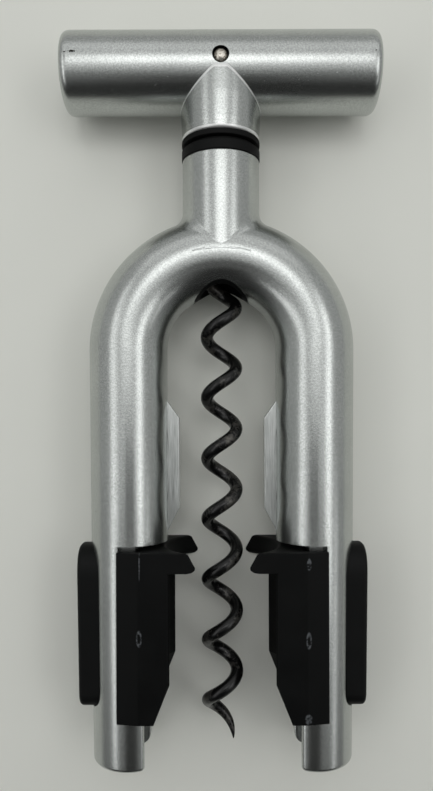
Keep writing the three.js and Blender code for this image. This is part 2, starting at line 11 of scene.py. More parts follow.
import bmesh
import bpy
import numpy as np
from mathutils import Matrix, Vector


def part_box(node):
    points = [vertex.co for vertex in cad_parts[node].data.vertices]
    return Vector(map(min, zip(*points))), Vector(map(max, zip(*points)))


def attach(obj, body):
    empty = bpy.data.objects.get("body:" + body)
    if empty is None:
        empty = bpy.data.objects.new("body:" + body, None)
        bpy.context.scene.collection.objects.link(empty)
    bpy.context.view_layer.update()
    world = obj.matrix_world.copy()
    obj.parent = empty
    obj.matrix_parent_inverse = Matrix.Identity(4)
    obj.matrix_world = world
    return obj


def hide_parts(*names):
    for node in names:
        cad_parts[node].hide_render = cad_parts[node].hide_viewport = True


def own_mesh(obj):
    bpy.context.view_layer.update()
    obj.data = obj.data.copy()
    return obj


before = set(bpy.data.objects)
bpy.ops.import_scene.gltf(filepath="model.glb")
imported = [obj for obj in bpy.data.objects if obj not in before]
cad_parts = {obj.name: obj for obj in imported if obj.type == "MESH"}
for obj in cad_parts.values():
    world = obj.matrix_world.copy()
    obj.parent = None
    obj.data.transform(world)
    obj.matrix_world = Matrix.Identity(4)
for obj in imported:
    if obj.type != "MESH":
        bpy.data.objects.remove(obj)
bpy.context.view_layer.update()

# %% [markdown]
# The sizes that several pieces share come first, so that a piece always meets its neighbour. They
# are the CAD's own: tube and arch of the frame, how far down the legs things lie, how far out from
# the worm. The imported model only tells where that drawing's zero point lies in the scene.

# %% Sizes that several pieces share, in millimetres
# Radii of the tube at the arch and at a leg's end, and of the arch; how far down the legs reach.
TUBE, LEG_END, ARCH, LEG = 9.0, 8.65, 21.6, 94.3
INNER_LEG = ARCH - TUBE
# Drop of the shoulder where a leg turns flat; the flat's offset from the leg's centre.
SHOULDER, FLAT_OFFSET = 44.1, 2.85
# Radii and tops of the neck and of the sleeve's flange; radius of the spindle and of its bore.
NECK, NECK_TOP = 8.9, 43.75
RING, FLANGE_TOP = 9.05, 45.95
SPINDLE, BORE = 4.85, 5.15
# The handle bar's radius, half length and height.
BAR, BAR_HALF, BAR_Y = 9.1, 36.2, 64.45
# The jaw's section: how far out its ridge and its outer edge lie, and the depth at each.
RIDGE, OUTER, DEPTH, OUTER_DEPTH = 18.5, 23.25, 11.1, 10.3
# Drops of the jaws and the pads; how far out a pad's foot, its face and its pocket's floor lie.
JAW_TOP, JAW_BOTTOM = 45.1, 82.5
PAD_TOP, PAD_BOTTOM = 44.75, 81.6
PAD_FOOT, PAD_FACE, POCKET_FLOOR = 27.2, 32.9, 25.4
PAD_LENGTH, PAD_MIDDLE = PAD_BOTTOM - PAD_TOP, -(PAD_TOP + PAD_BOTTOM) / 2
# The screws lie a share of the pad's length in from its ends. Each runs in a stud of the jaw.
SCREW_SHARE = 0.26
SCREWS = np.array([PAD_TOP, PAD_BOTTOM]) + np.array([1, -1]) * SCREW_SHARE * PAD_LENGTH
SCREW_HOLE, STUD = 1.4, 3.0
# Each pad spring stands on a seat in the leg.
SPRING_SEAT = 21.0

low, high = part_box("frame_casting")
ARCH_Y = low[1] * 1000 + LEG
MID_Z = (low[2] + high[2]) * 500
print(f"arch's centre at y {ARCH_Y:.3f} mm, middle plane at z {MID_Z:.3f} mm")


def metres(points):
    """Drawing millimetres to scene metres: add the arch's place, then divide by a thousand."""
    return (np.asarray(points, float) + (0, ARCH_Y, MID_Z)) / 1000


print(f"screws {SCREWS[0]:.2f} and {SCREWS[1]:.2f} mm below the arch's centre")

# %% [markdown]
# Every new surface is a grid of points: rows along the piece, columns round it. A row that
# shrinks to one point makes a pole, and merging the doubled points closes it. The faces are
# found from the grid's numbering, so no loop runs over the points.

# %% Grids into meshes
def grid(points, round_rows=False):
    """A shell from points[row, column]: each face joins (i, j), (i, j+1), (i+1, j+1), (i+1, j).
    Columns always go right round; rows do so only for a ring-shaped piece."""
    rows, columns = points.shape[:2]
    row_count = rows if round_rows else rows - 1
    i, j = np.meshgrid(np.arange(row_count), np.arange(columns), indexing="ij")
    after, beside = (i + 1) % rows, (j + 1) % columns
    here, there = i * columns, after * columns
    faces = np.stack([here + j, here + beside, there + beside, there + j], -1)
    return points.reshape(-1, 3), faces.reshape(-1, 4)


def mirrored(shells):
    """The same shells on the other leg: half a turn about Y, so x and z change sign."""
    return [(points * (-1, 1, -1), faces) for points, faces in shells]


# What stands on a leg is drawn for the right one. A list leaves it there; the left one gets it
# mirrored.
SIDES = (("right", list), ("left", mirrored))
MERGE, NO_LENGTH = 2e-6, 1e-7


def mesh_of(name, shells):
    """One mesh from shells in drawing millimetres. Points nearer than MERGE metres become one,
    edges under NO_LENGTH metres go, and the faces are turned outwards."""
    starts = np.cumsum([0] + [len(points) for points, _ in shells[:-1]])
    points = metres(np.concatenate([points for points, _ in shells]))
    faces = np.concatenate([faces + start for (_, faces), start in zip(shells, starts)])
    mesh = bpy.data.meshes.new(name)
    mesh.from_pydata(points.tolist(), [], faces.tolist())
    work = bmesh.new()
    work.from_mesh(mesh)
    bmesh.ops.remove_doubles(work, verts=work.verts, dist=MERGE)
    bmesh.ops.dissolve_degenerate(work, edges=work.edges, dist=NO_LENGTH)
    bmesh.ops.recalc_face_normals(work, faces=work.faces)
    for face in work.faces:
        face.smooth = True
    work.to_mesh(mesh)
    work.free()
    return mesh


def piece(name, shells):
    """An object at the origin with its place in its mesh."""
    made = bpy.data.objects.new(name, mesh_of(name, shells))
    bpy.context.scene.collection.objects.link(made)
    return made


print("a grid of 3 rows and 8 columns has", len(grid(np.zeros((3, 8, 3)))[1]), "faces")

# %% [markdown]
# Some pieces are cut or joined, as the real ones are milled or cast in one. A Boolean modifier
# does that, and its result is taken at once as the piece's mesh, so no modifier is left waiting.
# Last, each piece is shaded smoothly between its real edges and gets its material; the CAD node
# that it stands for is hidden, and the piece is hung on the empty of the body that carries it.

# %% Cutting, joining and handing over
def settle(made):
    """Applies the piece's modifiers by taking its evaluated mesh."""
    graph = bpy.context.evaluated_depsgraph_get()
    mesh = bpy.data.meshes.new_from_object(made.evaluated_get(graph))
    made.modifiers.clear()
    made.data = mesh


def combine(made, shells, operation):
    """Joins shells to a piece, or cuts them out of it, with a Boolean modifier, and applies it."""
    tool = piece("tool", shells)
    change = made.modifiers.new("shape", "BOOLEAN")
    change.operation, change.object, change.solver = operation, tool, "MANIFOLD"
    settle(made)
    bpy.data.objects.remove(tool)


def finish(made, node, body, material, sharp=32):
    """Shades a piece smoothly but for edges over the sharp angle, gives it its material, hides its
    CAD node and hangs it on its body's empty.
    """
    made.data.set_sharp_from_angle(angle=math.radians(sharp))
    even = made.modifiers.new("even shading", "WEIGHTED_NORMAL")
    even.keep_sharp = True
    made.data.materials.clear()
    made.data.materials.append(material)
    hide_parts(node)
    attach(made, body)
    wide, long, deep = np.ptp([corner[:] for corner in made.bound_box], axis=0) * 1000
    faces = len(made.data.polygons)
    print(f"{made.name}: {faces} faces, {wide:.1f} x {long:.1f} x {deep:.1f} mm")


# %% [markdown]
# Many pieces start as a profile: a row of corners, each rounded off, because no real edge is
# perfectly sharp and the round is what catches the light. A lathe then carries the profile
# round an axis.

# %% Profiles, rounded and turned
def rounded(corners, radius, steps=5):
    """A path through corners with each inner corner turned into a curve. A curve leaves its
    corner's two sides at the radius, and blends them: (1-t)^2 A + 2t(1-t) corner + t^2 B."""
    corners = np.asarray(corners, float)
    radius = np.broadcast_to(np.asarray(radius, float), len(corners) - 2)[:, None]
    before, here, after = corners[:-2], corners[1:-1], corners[2:]
    start = here + radius * (before - here) / np.linalg.norm(before - here, axis=1)[:, None]
    end = here + radius * (after - here) / np.linalg.norm(after - here, axis=1)[:, None]
    t = np.linspace(0, 1, steps + 1)[None, :, None]
    curves = (1 - t) ** 2 * start[:, None] + 2 * t * (1 - t) * here[:, None] + t**2 * end[:, None]
    return np.concatenate([corners[:1], curves.reshape(-1, 2), corners[-1:]])


def turned(profile, axis="y", sides=96, centre=(0, 0, 0), round_rows=False):
    """A lathe-turned shell: each (radius, height) of the profile becomes a circle, radius times
    the cosine and sine of an angle that runs right round the axis."""
    profile = np.asarray(profile, float)
    angle = np.linspace(0, 2 * np.pi, sides, endpoint=False)
    across = profile[:, :1] * np.cos(angle)
    deep = profile[:, :1] * np.sin(angle)
    along = np.broadcast_to(profile[:, 1:], across.shape)
    orders = {"x": (along, across, deep), "y": (across, along, deep), "z": (across, deep, along)}
    return [grid(np.stack(orders[axis], -1) + centre, round_rows)]


def rod(radius, low, high, axis="y", sides=64, centre=(0, 0, 0)):
    """A plain turned rod, for cutting holes and for hidden studs."""
    return turned([(0, low), (radius, low), (radius, high), (0, high)], axis, sides, centre)


print("a rounded right angle has", len(rounded([(0, 0), (0, 1), (1, 1)], 0.5)), "points")

# %% [markdown]
# The frame is one zinc casting, bead-blasted and plated satin. Its main form is a round tube
# that is carried along a U: up the right leg, over the arch and down the left leg. Below its
# shoulder a leg loses its inner side, so the section changes from a circle to a D. Both are
# written as a distance from the tube's centre for every angle, and the shoulder is the step
# between two rows at the same height.

# %% The frame's tube
COLUMNS = 160
ROUND = np.linspace(0, 2 * np.pi, COLUMNS, endpoint=False)
# Half width of the flat inside the jaw and, below it, at the leg's end, where the flat leans.
FLAT_HALF, BARE_FLAT_HALF, BARE_LEAN = 4.4, 7.6, math.radians(7)
# The recess that the jaw's walls lie in: half height of its floor, and how far out it reaches.
RECESS_HALF, RECESS_EDGE = 6.9, OUTER - ARCH - 0.1
# The round of the leg's end, and the gap between pieces that clip or slide together.
END_ROUND, GAP = 1.0, 0.3


def d_section(angle, radius, flat, half):
    """Distance from the leg's centre at an angle from its outer side. Outside it is the radius;
    inside it is the flat's distance over the cosine; between them a corner circle touches both,
    and the ray meets it at b + sqrt(b^2 - c^2 + corner^2), b being the centre's part along it."""
    flat = min(flat, radius - 0.01)
    corner = (radius**2 - flat**2 - half**2) / (2 * (radius - flat))
    turn = np.abs((angle + np.pi) % (2 * np.pi) - np.pi)
    along = (corner - flat) * np.cos(turn) + half * np.sin(turn)
    reach = along + np.sqrt(np.maximum(along**2 - (corner - flat) ** 2 - half**2 + corner**2, 0))
    reach = np.where(turn <= math.atan2(half, corner - flat), radius, reach)
    inside = turn >= np.pi - math.atan2(half, flat)
    return np.where(inside, flat / np.maximum(-np.cos(turn), 1e-9), reach)


def bare_section(radius, shrink):
    """The leg below the jaw: its flat leans 7 degrees and runs almost to the tube's own round."""
    leaning = (ROUND - BARE_LEAN + np.pi) % (2 * np.pi) - np.pi
    half = BARE_FLAT_HALF * radius / (radius + shrink)
    return d_section(leaning, radius, FLAT_OFFSET - shrink, half)


def leg_radius(drop):
    """The leg's radius falls evenly with the drop, from the tube's to the leg end's."""
    return TUBE - (TUBE - LEG_END) * drop / LEG


def held_section(radius):
    """The leg inside the jaw: a smaller D, and the jaw's wall lies in a recess, so short of the
    recess's edge the reach is no more than the floor's height over the sine."""
    reach = d_section(ROUND, radius, FLAT_OFFSET, FLAT_HALF)
    floor = RECESS_HALF / np.maximum(np.abs(np.sin(ROUND)), 1e-6)
    return np.where(np.cos(ROUND) * reach < RECESS_EDGE, np.minimum(reach, floor), reach)


def leg_rows():
    """The right leg from its end to the arch: a drop and a section for each row. The end's edge
    is a quarter circle, so the drop has its sine and the section shrinks by one less cosine."""
    theta = np.linspace(np.pi / 2, 0, 7)
    edge, jaw_end = LEG - END_ROUND, JAW_BOTTOM + GAP
    drop = np.array([*(edge + END_ROUND * np.sin(theta)), *np.linspace(edge, jaw_end, 8)[1:]])
    shrink = np.array([*(END_ROUND * (1 - np.cos(theta))), *np.zeros(7)])
    bare = [bare_section(r, s) for r, s in zip(leg_radius(drop) - shrink, shrink)]
    held_drop = np.linspace(jaw_end, SHOULDER, 20)
    held = [held_section(leg_radius(d)) for d in held_drop]
    upper_drop = np.linspace(SHOULDER, 0, 23)
    upper = leg_radius(upper_drop)[:, None] + 0 * ROUND
    return np.concatenate([drop, held_drop, upper_drop]), np.concatenate([bare, held, upper])


def tube():
    """Centre of a row plus its reach: out times the cosine, and up times the sine, of the angle.
    On a leg the centre goes straight down; on the arch it is the arch's radius at its turn."""
    drop, reach = leg_rows()
    centre_x = ARCH - (TUBE - LEG_END) * drop / LEG
    out, up = reach * np.cos(ROUND), reach * np.sin(ROUND)
    leg = np.stack([centre_x[:, None] + out, np.broadcast_to(-drop[:, None], out.shape), up], -1)
    turn = np.linspace(0, np.pi / 2, 49)[1:, None]
    ring = ARCH + TUBE * np.cos(ROUND)
    rise = np.broadcast_to(TUBE * np.sin(ROUND), (len(turn), COLUMNS))
    arch = np.stack([ring * np.cos(turn), ring * np.sin(turn), rise], -1)
    half = np.concatenate([leg, arch])
    pole = np.broadcast_to([centre_x[0], -drop[0], 0], (1, COLUMNS, 3))
    half = np.concatenate([pole, half])
    other = half[-2::-1] * (-1, 1, 1)
    return [grid(np.concatenate([half, other]))]


print("rows on a leg:", len(leg_rows()[0]), "points in a row:", COLUMNS)

# %% [markdown]
# The neck grows out of the arch with a cast fillet. At each angle round the neck the fillet
# leaves the neck a little above the arch and lands on the arch a little further out, so it is
# wide at the sides and runs out in front, where the two tubes are almost level.

# %% The frame's neck
# The fillet's size at the sides, the round of the neck's upper edge, and the bore's radius.
FILLET, NECK_EDGE, BORE_IN_NECK = 2.4, 0.4, 6.5


def arch_height(radius, turn):
    """Height of the arch's upper surface over the point at that radius and angle from the neck's
    axis: the tube's half width there, added to the arch's radius, then taken back off sideways."""
    side, deep = radius * np.sin(turn), radius * np.cos(turn)
    return np.sqrt((ARCH + np.sqrt(np.maximum(TUBE**2 - deep**2, 0))) ** 2 - side**2)


def neck():
    """Rows from the top's rounded edge down the neck, then the fillet's curve from the neck to
    the arch, (1-t)^2 start + 2t(1-t) corner + t^2 end, then a skirt that is sunk in the arch."""
    level = (TUBE - 0.01) / np.maximum(np.abs(np.cos(ROUND)), 1e-6)
    fillet = np.minimum(FILLET, level - NECK)
    meet = arch_height(NECK, ROUND)
    land = arch_height(NECK + fillet, ROUND)
    start = meet + fillet
    top = rounded([(0, NECK_TOP), (NECK, NECK_TOP), (NECK, NECK_TOP - 4)], NECK_EDGE)
    rows_r = [np.full(COLUMNS, r) for r, _ in top]
    rows_y = [np.full(COLUMNS, y) for _, y in top]
    for share in np.linspace(0, 1, 9)[1:]:
        rows_r.append(np.full(COLUMNS, NECK))
        rows_y.append(top[-1][1] + (start - top[-1][1]) * share)
    for t in np.linspace(0, 1, 8)[1:]:
        rows_r.append((1 - t) ** 2 * NECK + 2 * t * (1 - t) * NECK + t**2 * (NECK + fillet))
        rows_y.append((1 - t) ** 2 * start + 2 * t * (1 - t) * meet + t**2 * land)
    rows_r += [rows_r[-1] + 0.02, np.full(COLUMNS, NECK - 0.5), np.zeros(COLUMNS)]
    rows_y += [rows_y[-1] - 0.25, np.full(COLUMNS, ARCH - 2), np.full(COLUMNS, ARCH - 2)]
    radius, height = np.array(rows_r), np.array(rows_y)
    return [grid(np.stack([radius * np.sin(ROUND), height, radius * np.cos(ROUND)], -1))]


seam = arch_height(NECK, ROUND)
print(f"the neck meets the arch {seam.min():.1f} to {seam.max():.1f} mm above the arch's centre")

# %% [markdown]
# A small lug stands on each leg's flat and keeps the jaw from sliding off. It is a flat plate
# with its edges drawn in by a quarter circle, and the cork fins are made the same way later.

# %% Flat plates, and the lug on the leg
def inset(outline, amount):
    """The outline moved inwards: each point goes against the mean of its two sides' normals."""
    side = np.roll(outline, -1, 0) - outline
    normal = np.stack([side[:, 1], -side[:, 0]], -1) / np.linalg.norm(side, axis=1)[:, None]
    mean = normal + np.roll(normal, 1, 0)
    mean /= np.maximum(np.linalg.norm(mean, axis=1)[:, None] ** 2, 1e-9) / 2
    after = np.roll(outline, -1, 0)
    area = np.sum(outline[:, 0] * after[:, 1] - outline[:, 1] * after[:, 0])
    return outline - mean * amount * np.sign(area)


def plate(outline, half, edge, steps=3):
    """A flat plate: the outline at both faces, lifted by the sine and drawn in by one less the
    cosine of the edge's quarter circle."""
    theta = np.linspace(0, np.pi / 2, steps + 1)
    lift, draw = half - edge + edge * np.sin(theta), edge * (1 - np.cos(theta))
    middle = outline.mean(0)
    level = lambda height: np.full(len(outline), height)
    rings = [np.column_stack([inset(outline, d), level(h)]) for h, d in zip(lift, draw)]
    below = [ring * (1, 1, -1) for ring in rings[::-1]]
    cap = np.tile([*middle, half], (len(outline), 1))
    return [grid(np.array([cap * (1, 1, -1), *below, *rings, cap]))]


# How far the lug stands out of the flat and reaches into it, half its thickness, and its edge.
LUG_PROUD, LUG_SUNK, LUG_HALF, LUG_EDGE = 1.85, 1.6, 1.6, 0.35
# How far its upper and its lower corner are rounded.
LUG_CORNERS = (0.3, 3.2)


def lug():
    """The lug's outline: a bar that stands proud of the leg's flat, its lower corner round."""
    flat = leg_radius(LEG - 2.5) + ARCH - TUBE - FLAT_OFFSET
    top, end = -JAW_BOTTOM - GAP, -LEG + 3.1
    face, root = flat - LUG_PROUD, flat + LUG_SUNK
    corners = [(root, top), (face, top), (face, end), (root, end)]
    return plate(rounded(corners, LUG_CORNERS, 8), LUG_HALF, LUG_EDGE)


print(f"a lug stands {LUG_PROUD} mm proud and is {2 * LUG_HALF} mm thick")


# %% [markdown]
# Each finger pad sinks into a pocket in its leg. Two holes run on from the pocket to the jaw,
# with a wider seat in each for the pad's spring. On the real frame these are cored in the die.

# %% Pockets for the finger pads, and holes for what joins pads and jaws
# The pad's half width, how long its round upper and lower ends are, and how square they are.
PAD_HALF, PAD_UPPER_END, PAD_LOWER_END, PAD_SQUARENESS = 5.8, 7.5, 4.0, 0.77
# Radius of the spring's seat, and how far its hole starts outside the pocket's floor.
SEAT_RADIUS, OVERRUN = 4.4, 0.5


def pad_outline(grow, count=96):
    """Round the pad: its half width times the cosine and its end's length times the sine of an
    angle, each raised to the squareness with its sign kept."""
    angle = np.linspace(0, 2 * np.pi, count, endpoint=False)
    square = lambda value: np.sign(value) * np.abs(value) ** PAD_SQUARENESS
    z = (PAD_HALF + grow) * square(np.cos(angle))
    rise = square(np.sin(angle))
    upper = -PAD_TOP - PAD_UPPER_END + (PAD_UPPER_END + grow) * rise
    lower = -PAD_BOTTOM + PAD_LOWER_END + (PAD_LOWER_END + grow) * rise
    return np.where(rise >= 0, upper, lower), z


def pad_ring(out, grow, share=1.0, count=96):
    """The outline at a distance out, shrunk to a share of its size about the pad's middle."""
    y, z = pad_outline(grow, count)
    y, z = PAD_MIDDLE + (y - PAD_MIDDLE) * share, z * share
    return np.column_stack([out + 0 * y, y, z])


def pocket():
    """The pad's outline with a gap all round, from the pocket's floor out past the leg."""
    rows = [(POCKET_FLOOR, 0), (POCKET_FLOOR, 1), (PAD_FACE + 1, 1), (PAD_FACE + 1, 0)]
    return [grid(np.array([pad_ring(out, GAP, share) for out, share in rows]))]


def leg_rods(radius, low, high, sides):
    """For each screw a rod round its axis, between two distances out from the worm."""
    return [rod(radius, low, high, "x", sides, (0, -drop, 0)) for drop in SCREWS]


def leg_holes():
    """For each screw a rod for the jaw's stud with a gap, and a wider one for the pad's spring."""
    end = POCKET_FLOOR + OVERRUN
    narrow = leg_rods(STUD + GAP, INNER_LEG, end, 40)
    wide = leg_rods(SEAT_RADIUS, SPRING_SEAT, end, 40)
    return [hole for pair in zip(narrow, wide) for hole in pair]


print(f"each pocket is {PAD_LENGTH + 2 * GAP:.1f} mm long and {2 * (PAD_HALF + GAP):.1f} mm wide")


# %% [markdown]
# Now the casting is put together in the order in which the die forms it: the tube, the neck and
# lugs joined to it, then the pockets and holes, and last the bore that the worm goes through.

# %% Cast the frame
casting = piece("cast_frame", tube())
combine(casting, neck(), "UNION")
for side, turn_over in SIDES:
    combine(casting, turn_over(lug()), "UNION")
for side, turn_over in SIDES:
    combine(casting, turn_over(pocket()), "DIFFERENCE")
for hole in leg_holes():
    for side, turn_over in SIDES:
        combine(casting, turn_over(hole), "DIFFERENCE")
combine(casting, rod(BORE_IN_NECK, INNER_LEG - 4, NECK_TOP + 2, "y", 96), "DIFFERENCE")
print("the casting has", len(casting.data.polygons), "faces")

# %% [markdown]
# One small function adds a node with its settings and its links, and every material is built
# with it. Colours are written as the hex values that a painter would use, and one function
# turns them into the linear numbers that the shader adds up.

# %% Node and colour helpers
def linear(hex_colour):
    """sRGB hex to linear: a channel over 0.04045 is ((c + 0.055) / 1.055) to the power 2.4."""
    channels = np.array([int(hex_colour[i : i + 2], 16) for i in (1, 3, 5)]) / 255
    straight = np.where(channels <= 0.04045, channels / 12.92, ((channels + 0.055) / 1.055) ** 2.4)
    return (*straight, 1.0)


def fill(tree, made, **values):
    """Gives a node its values. A name that starts with a capital is an input, with _ for a space;
    in_0, in_1 and so on are inputs by number; any other name is a setting of the node."""
    for name, value in values.items():
        if not name[0].isupper() and not name.startswith("in_"):
            setattr(made, name, value)
            continue
        socket = made.inputs[int(name[3:]) if name.startswith("in_") else name.replace("_", " ")]
        if isinstance(value, bpy.types.NodeSocket):
            tree.links.new(value, socket)
        else:
            socket.default_value = value


def node(tree, kind, output=0, **values):
    """Adds a node with its settings and links, and gives one of its outputs."""
    made = tree.nodes.new("ShaderNode" + kind)
    fill(tree, made, **values)
    return made.outputs[output]


def material(name):
    """A new material, its node tree, its Principled shader and the object's coordinates. These
    are in metres, so a noise's scale is a thousand over its grain in millimetres."""
    made = bpy.data.materials.new(name)
    made.use_nodes = True
    tree = made.node_tree
    print("material", name)
    return made, tree, tree.nodes["Principled BSDF"], node(tree, "TexCoord", "Object")


# %% [markdown]
# The casting and the handle are zinc alloy, die-cast, bead-blasted and plated with satin
# chrome. To the eye that is a soft silver mirror: a fine even grain that spreads each
# reflection, small handling scratches, and here and there a dark pit where the plating is worn.
# Real blast grain is under 0.1 mm, too fine to show, so it is drawn at 0.35 mm.

# %% Satin plated casting
# Sizes in millimetres of the blasting's grain, the smudges and the scratches, with their stretch.
BLAST_GRAIN, SMUDGE, SCRATCH, SCRATCH_STRETCH = 0.35, 9.0, 0.25, 14
# Spacing of the pits, size of the patches that have any, and grain of the worn spots.
PIT_SPACING, PIT_PATCH, WEAR_SPECK = 5.5, 11.0, 0.7


def worn_spot(tree, where, x, y, half_wide, half_long):
    """Pits inside an oval round (x, y) of the drawing: where a fine noise is above a limit that
    rises with the distance from the oval's centre, in half widths and half lengths."""
    centre = metres((x, y, 0))
    stretch = (1000 / half_wide, 1000 / half_long, 0)
    flat = node(tree, "Mapping", Vector=where, Location=(-centre[0], -centre[1], 0))
    scaled = node(tree, "VectorMath", operation="MULTIPLY", in_0=flat, in_1=stretch)
    away = node(tree, "VectorMath", "Value", operation="LENGTH", in_0=scaled)
    speck = node(tree, "TexNoise", Vector=where, Scale=1000 / WEAR_SPECK, Detail=3.0)
    limit = node(
        tree, "MapRange", Value=away, From_Min=0.2, From_Max=1.0, To_Min=0.5, To_Max=0.75
    )
    over = node(tree, "Math", operation="SUBTRACT", in_0=speck, in_1=limit)
    return node(tree, "MapRange", Value=over, From_Min=0.0, From_Max=0.03)


def satin_casting(name, worn_spots=()):
    """Chrome over blasted zinc: tone follows the grain, and a slow noise dulls it here and there.
    A pit is a cell's centre, in a patch where a third noise is high, or part of a worn spot."""
    made, tree, shader, where = material(name)
    grain = node(tree, "TexNoise", Vector=where, Scale=1000 / BLAST_GRAIN, Detail=1.0)
    smudge = node(tree, "TexNoise", Vector=where, Scale=1000 / SMUDGE, Detail=3.0)
    drawn_out = node(tree, "Mapping", Vector=where, Scale=(1, 1 / SCRATCH_STRETCH, 1))
    scratch = node(tree, "TexNoise", Vector=drawn_out, Scale=1000 / SCRATCH, Detail=2.0)
    cell = node(tree, "TexVoronoi", "Distance", Vector=where, Scale=1000 / PIT_SPACING)
    dot = node(tree, "MapRange", Value=cell, From_Min=0.035, From_Max=0.02)
    chance = node(tree, "TexNoise", Vector=where, Scale=1000 / PIT_PATCH, Detail=0.0)
    few = node(tree, "MapRange", Value=chance, From_Min=0.56, From_Max=0.6)
    pit = node(tree, "Math", operation="MULTIPLY", in_0=dot, in_1=few)
    for oval in worn_spots:
        spot = worn_spot(tree, where, *oval)
        pit = node(tree, "Math", operation="MAXIMUM", in_0=pit, in_1=spot)
    tone = node(tree, "MapRange", Value=grain, From_Min=0.3, From_Max=0.7)
    dark, pale = linear("#aeb1af"), linear("#c4c7c5")
    fine = node(tree, "Mix", 2, data_type="RGBA", in_0=tone, in_6=dark, in_7=pale)
    dull = node(tree, "MapRange", Value=smudge, From_Min=0.35, From_Max=0.7, To_Max=0.2)
    even = node(tree, "Mix", 2, data_type="RGBA", in_0=dull, in_6=fine, in_7=linear("#9ea19f"))
    colour = node(tree, "Mix", 2, data_type="RGBA", in_0=pit, in_6=even, in_7=linear("#33322f"))
    gloss = node(
        tree, "MapRange", Value=smudge, From_Min=0.3, From_Max=0.7, To_Min=0.255, To_Max=0.27
    )
    rough = node(tree, "Math", operation="MULTIPLY_ADD", in_0=pit, in_1=0.4, in_2=gloss)
    height = node(tree, "Math", operation="MULTIPLY_ADD", in_0=scratch, in_1=0.15, in_2=grain)
    dented = node(tree, "Math", operation="MULTIPLY_ADD", in_0=pit, in_1=-2.0, in_2=height)
    raised = node(tree, "Bump", Height=dented, Distance=0.000016, Strength=0.6)
    fill(tree, shader, Base_Color=colour, Metallic=1.0, Roughness=rough, Normal=raised)
    return made


frame_metal = satin_casting("satin_chrome_on_zinc")

# %% [markdown]
# The stem's two rims carry a painted highlight: a near-white, partly matt metal without the
# blasted grain, so that they show as thin white lines: the V under the bar, and the ring over the
# washer.

# %% Rims with a painted highlight, and the casting's finish
def painted_highlight_edge():
    """The stem's rims as a painted highlight: near-white and partly matt, with a trace of tool
    marks.
    """
    made, tree, shader, where = material("painted_highlight_rim")
    marks = node(tree, "TexNoise", Vector=where, Scale=1000 / 0.3, Detail=1.0)
    # These near-white tones are a painted highlight, not the rims' own colour.
    light, shade = linear("#f0f1f0"), linear("#dcdddc")
    colour = node(tree, "Mix", 2, data_type="RGBA", in_0=marks, in_6=light, in_7=shade)
    gloss = node(tree, "MapRange", Value=marks, From_Min=0.3, From_Max=0.7, To_Min=0.3, To_Max=0.4)
    fill(tree, shader, Base_Color=colour, Metallic=0.6, Roughness=gloss)
    return made


highlight_rim_paint = painted_highlight_edge()
finish(casting, "frame_casting", "frame", frame_metal)

# %% [markdown]
# The bar is turned from round stock with soft ends, and a cross hole is drilled through it for
# the pin. Years of being put down have pitted the plating near its ends and beside the pin.

# %% Handle bar
BAR_END_ROUND, PIN_HOLE = 2.1, 1.9
bar_corners = [(0, -BAR_HALF), (BAR, -BAR_HALF), (BAR, BAR_HALF), (0, BAR_HALF)]
bar_path = rounded(bar_corners, BAR_END_ROUND, 8)
first, last = np.split(bar_path, 2)
# The long straight side gets 39 points of its own, so that the hole's edge meets even faces.
share = np.linspace(0, 1, 41)[1:-1, None]
between = first[-1] * (1 - share) + last[0] * share
bar_profile = np.concatenate([first, between, last])
handle = piece("turned_handle_bar", turned(bar_profile, "x", 128, (0, BAR_Y, 0)))
combine(handle, rod(PIN_HOLE, -BAR - 2, BAR + 2, "z", 48, (0, BAR_Y, 0)), "DIFFERENCE")

# Centre, half width and half length of each pitted place: at both ends, and beside the pin.
BAR_WEAR = ((-33.5, 65.3, 3.2, 0.9), (34.0, 65.2, 1.4, 0.8), (2.9, 65.4, 0.9, 0.9))
bar_metal = satin_casting("satin_chrome_on_bar", BAR_WEAR)
finish(handle, "handle_bar", "handle", bar_metal)


# %% [markdown]
# The stem under the bar is a turned collar that is notched to saddle the bar: every point of its
# upper rim lies where the stem's wall meets the bar's cylinder, which shows as the bright V.

# %% Collar
# Height of the foot, radius of the bore, round of the rim, and how far up the wall widens.
COLLAR_FOOT, COLLAR_BORE, COLLAR_RIM, COLLAR_TAPER = 48.35, 5.2, 0.2, 8.2
# Radius at the foot, at the head in front, and what the head's sides have more.
COLLAR_RADIUS, COLLAR_FRONT, COLLAR_SIDE_EXTRA = 8.9, 9.2, 0.14
# The notch's gap to the bar, and how far under the bar's axis the flat round the pin lies.
BAR_CLEARANCE, PIN_FLAT = 0.03, 2.1


def saddle(radius, turn):
    """Height of the notch at a radius and angle: the bar's height less the bar's half depth
    there, sqrt(bar^2 - z^2), and never above the flat under the pin."""
    deep = radius * np.cos(turn)
    half_depth = np.sqrt(np.maximum((BAR + BAR_CLEARANCE) ** 2 - deep**2, 0))
    return np.minimum(BAR_Y - half_depth, BAR_Y - PIN_FLAT)


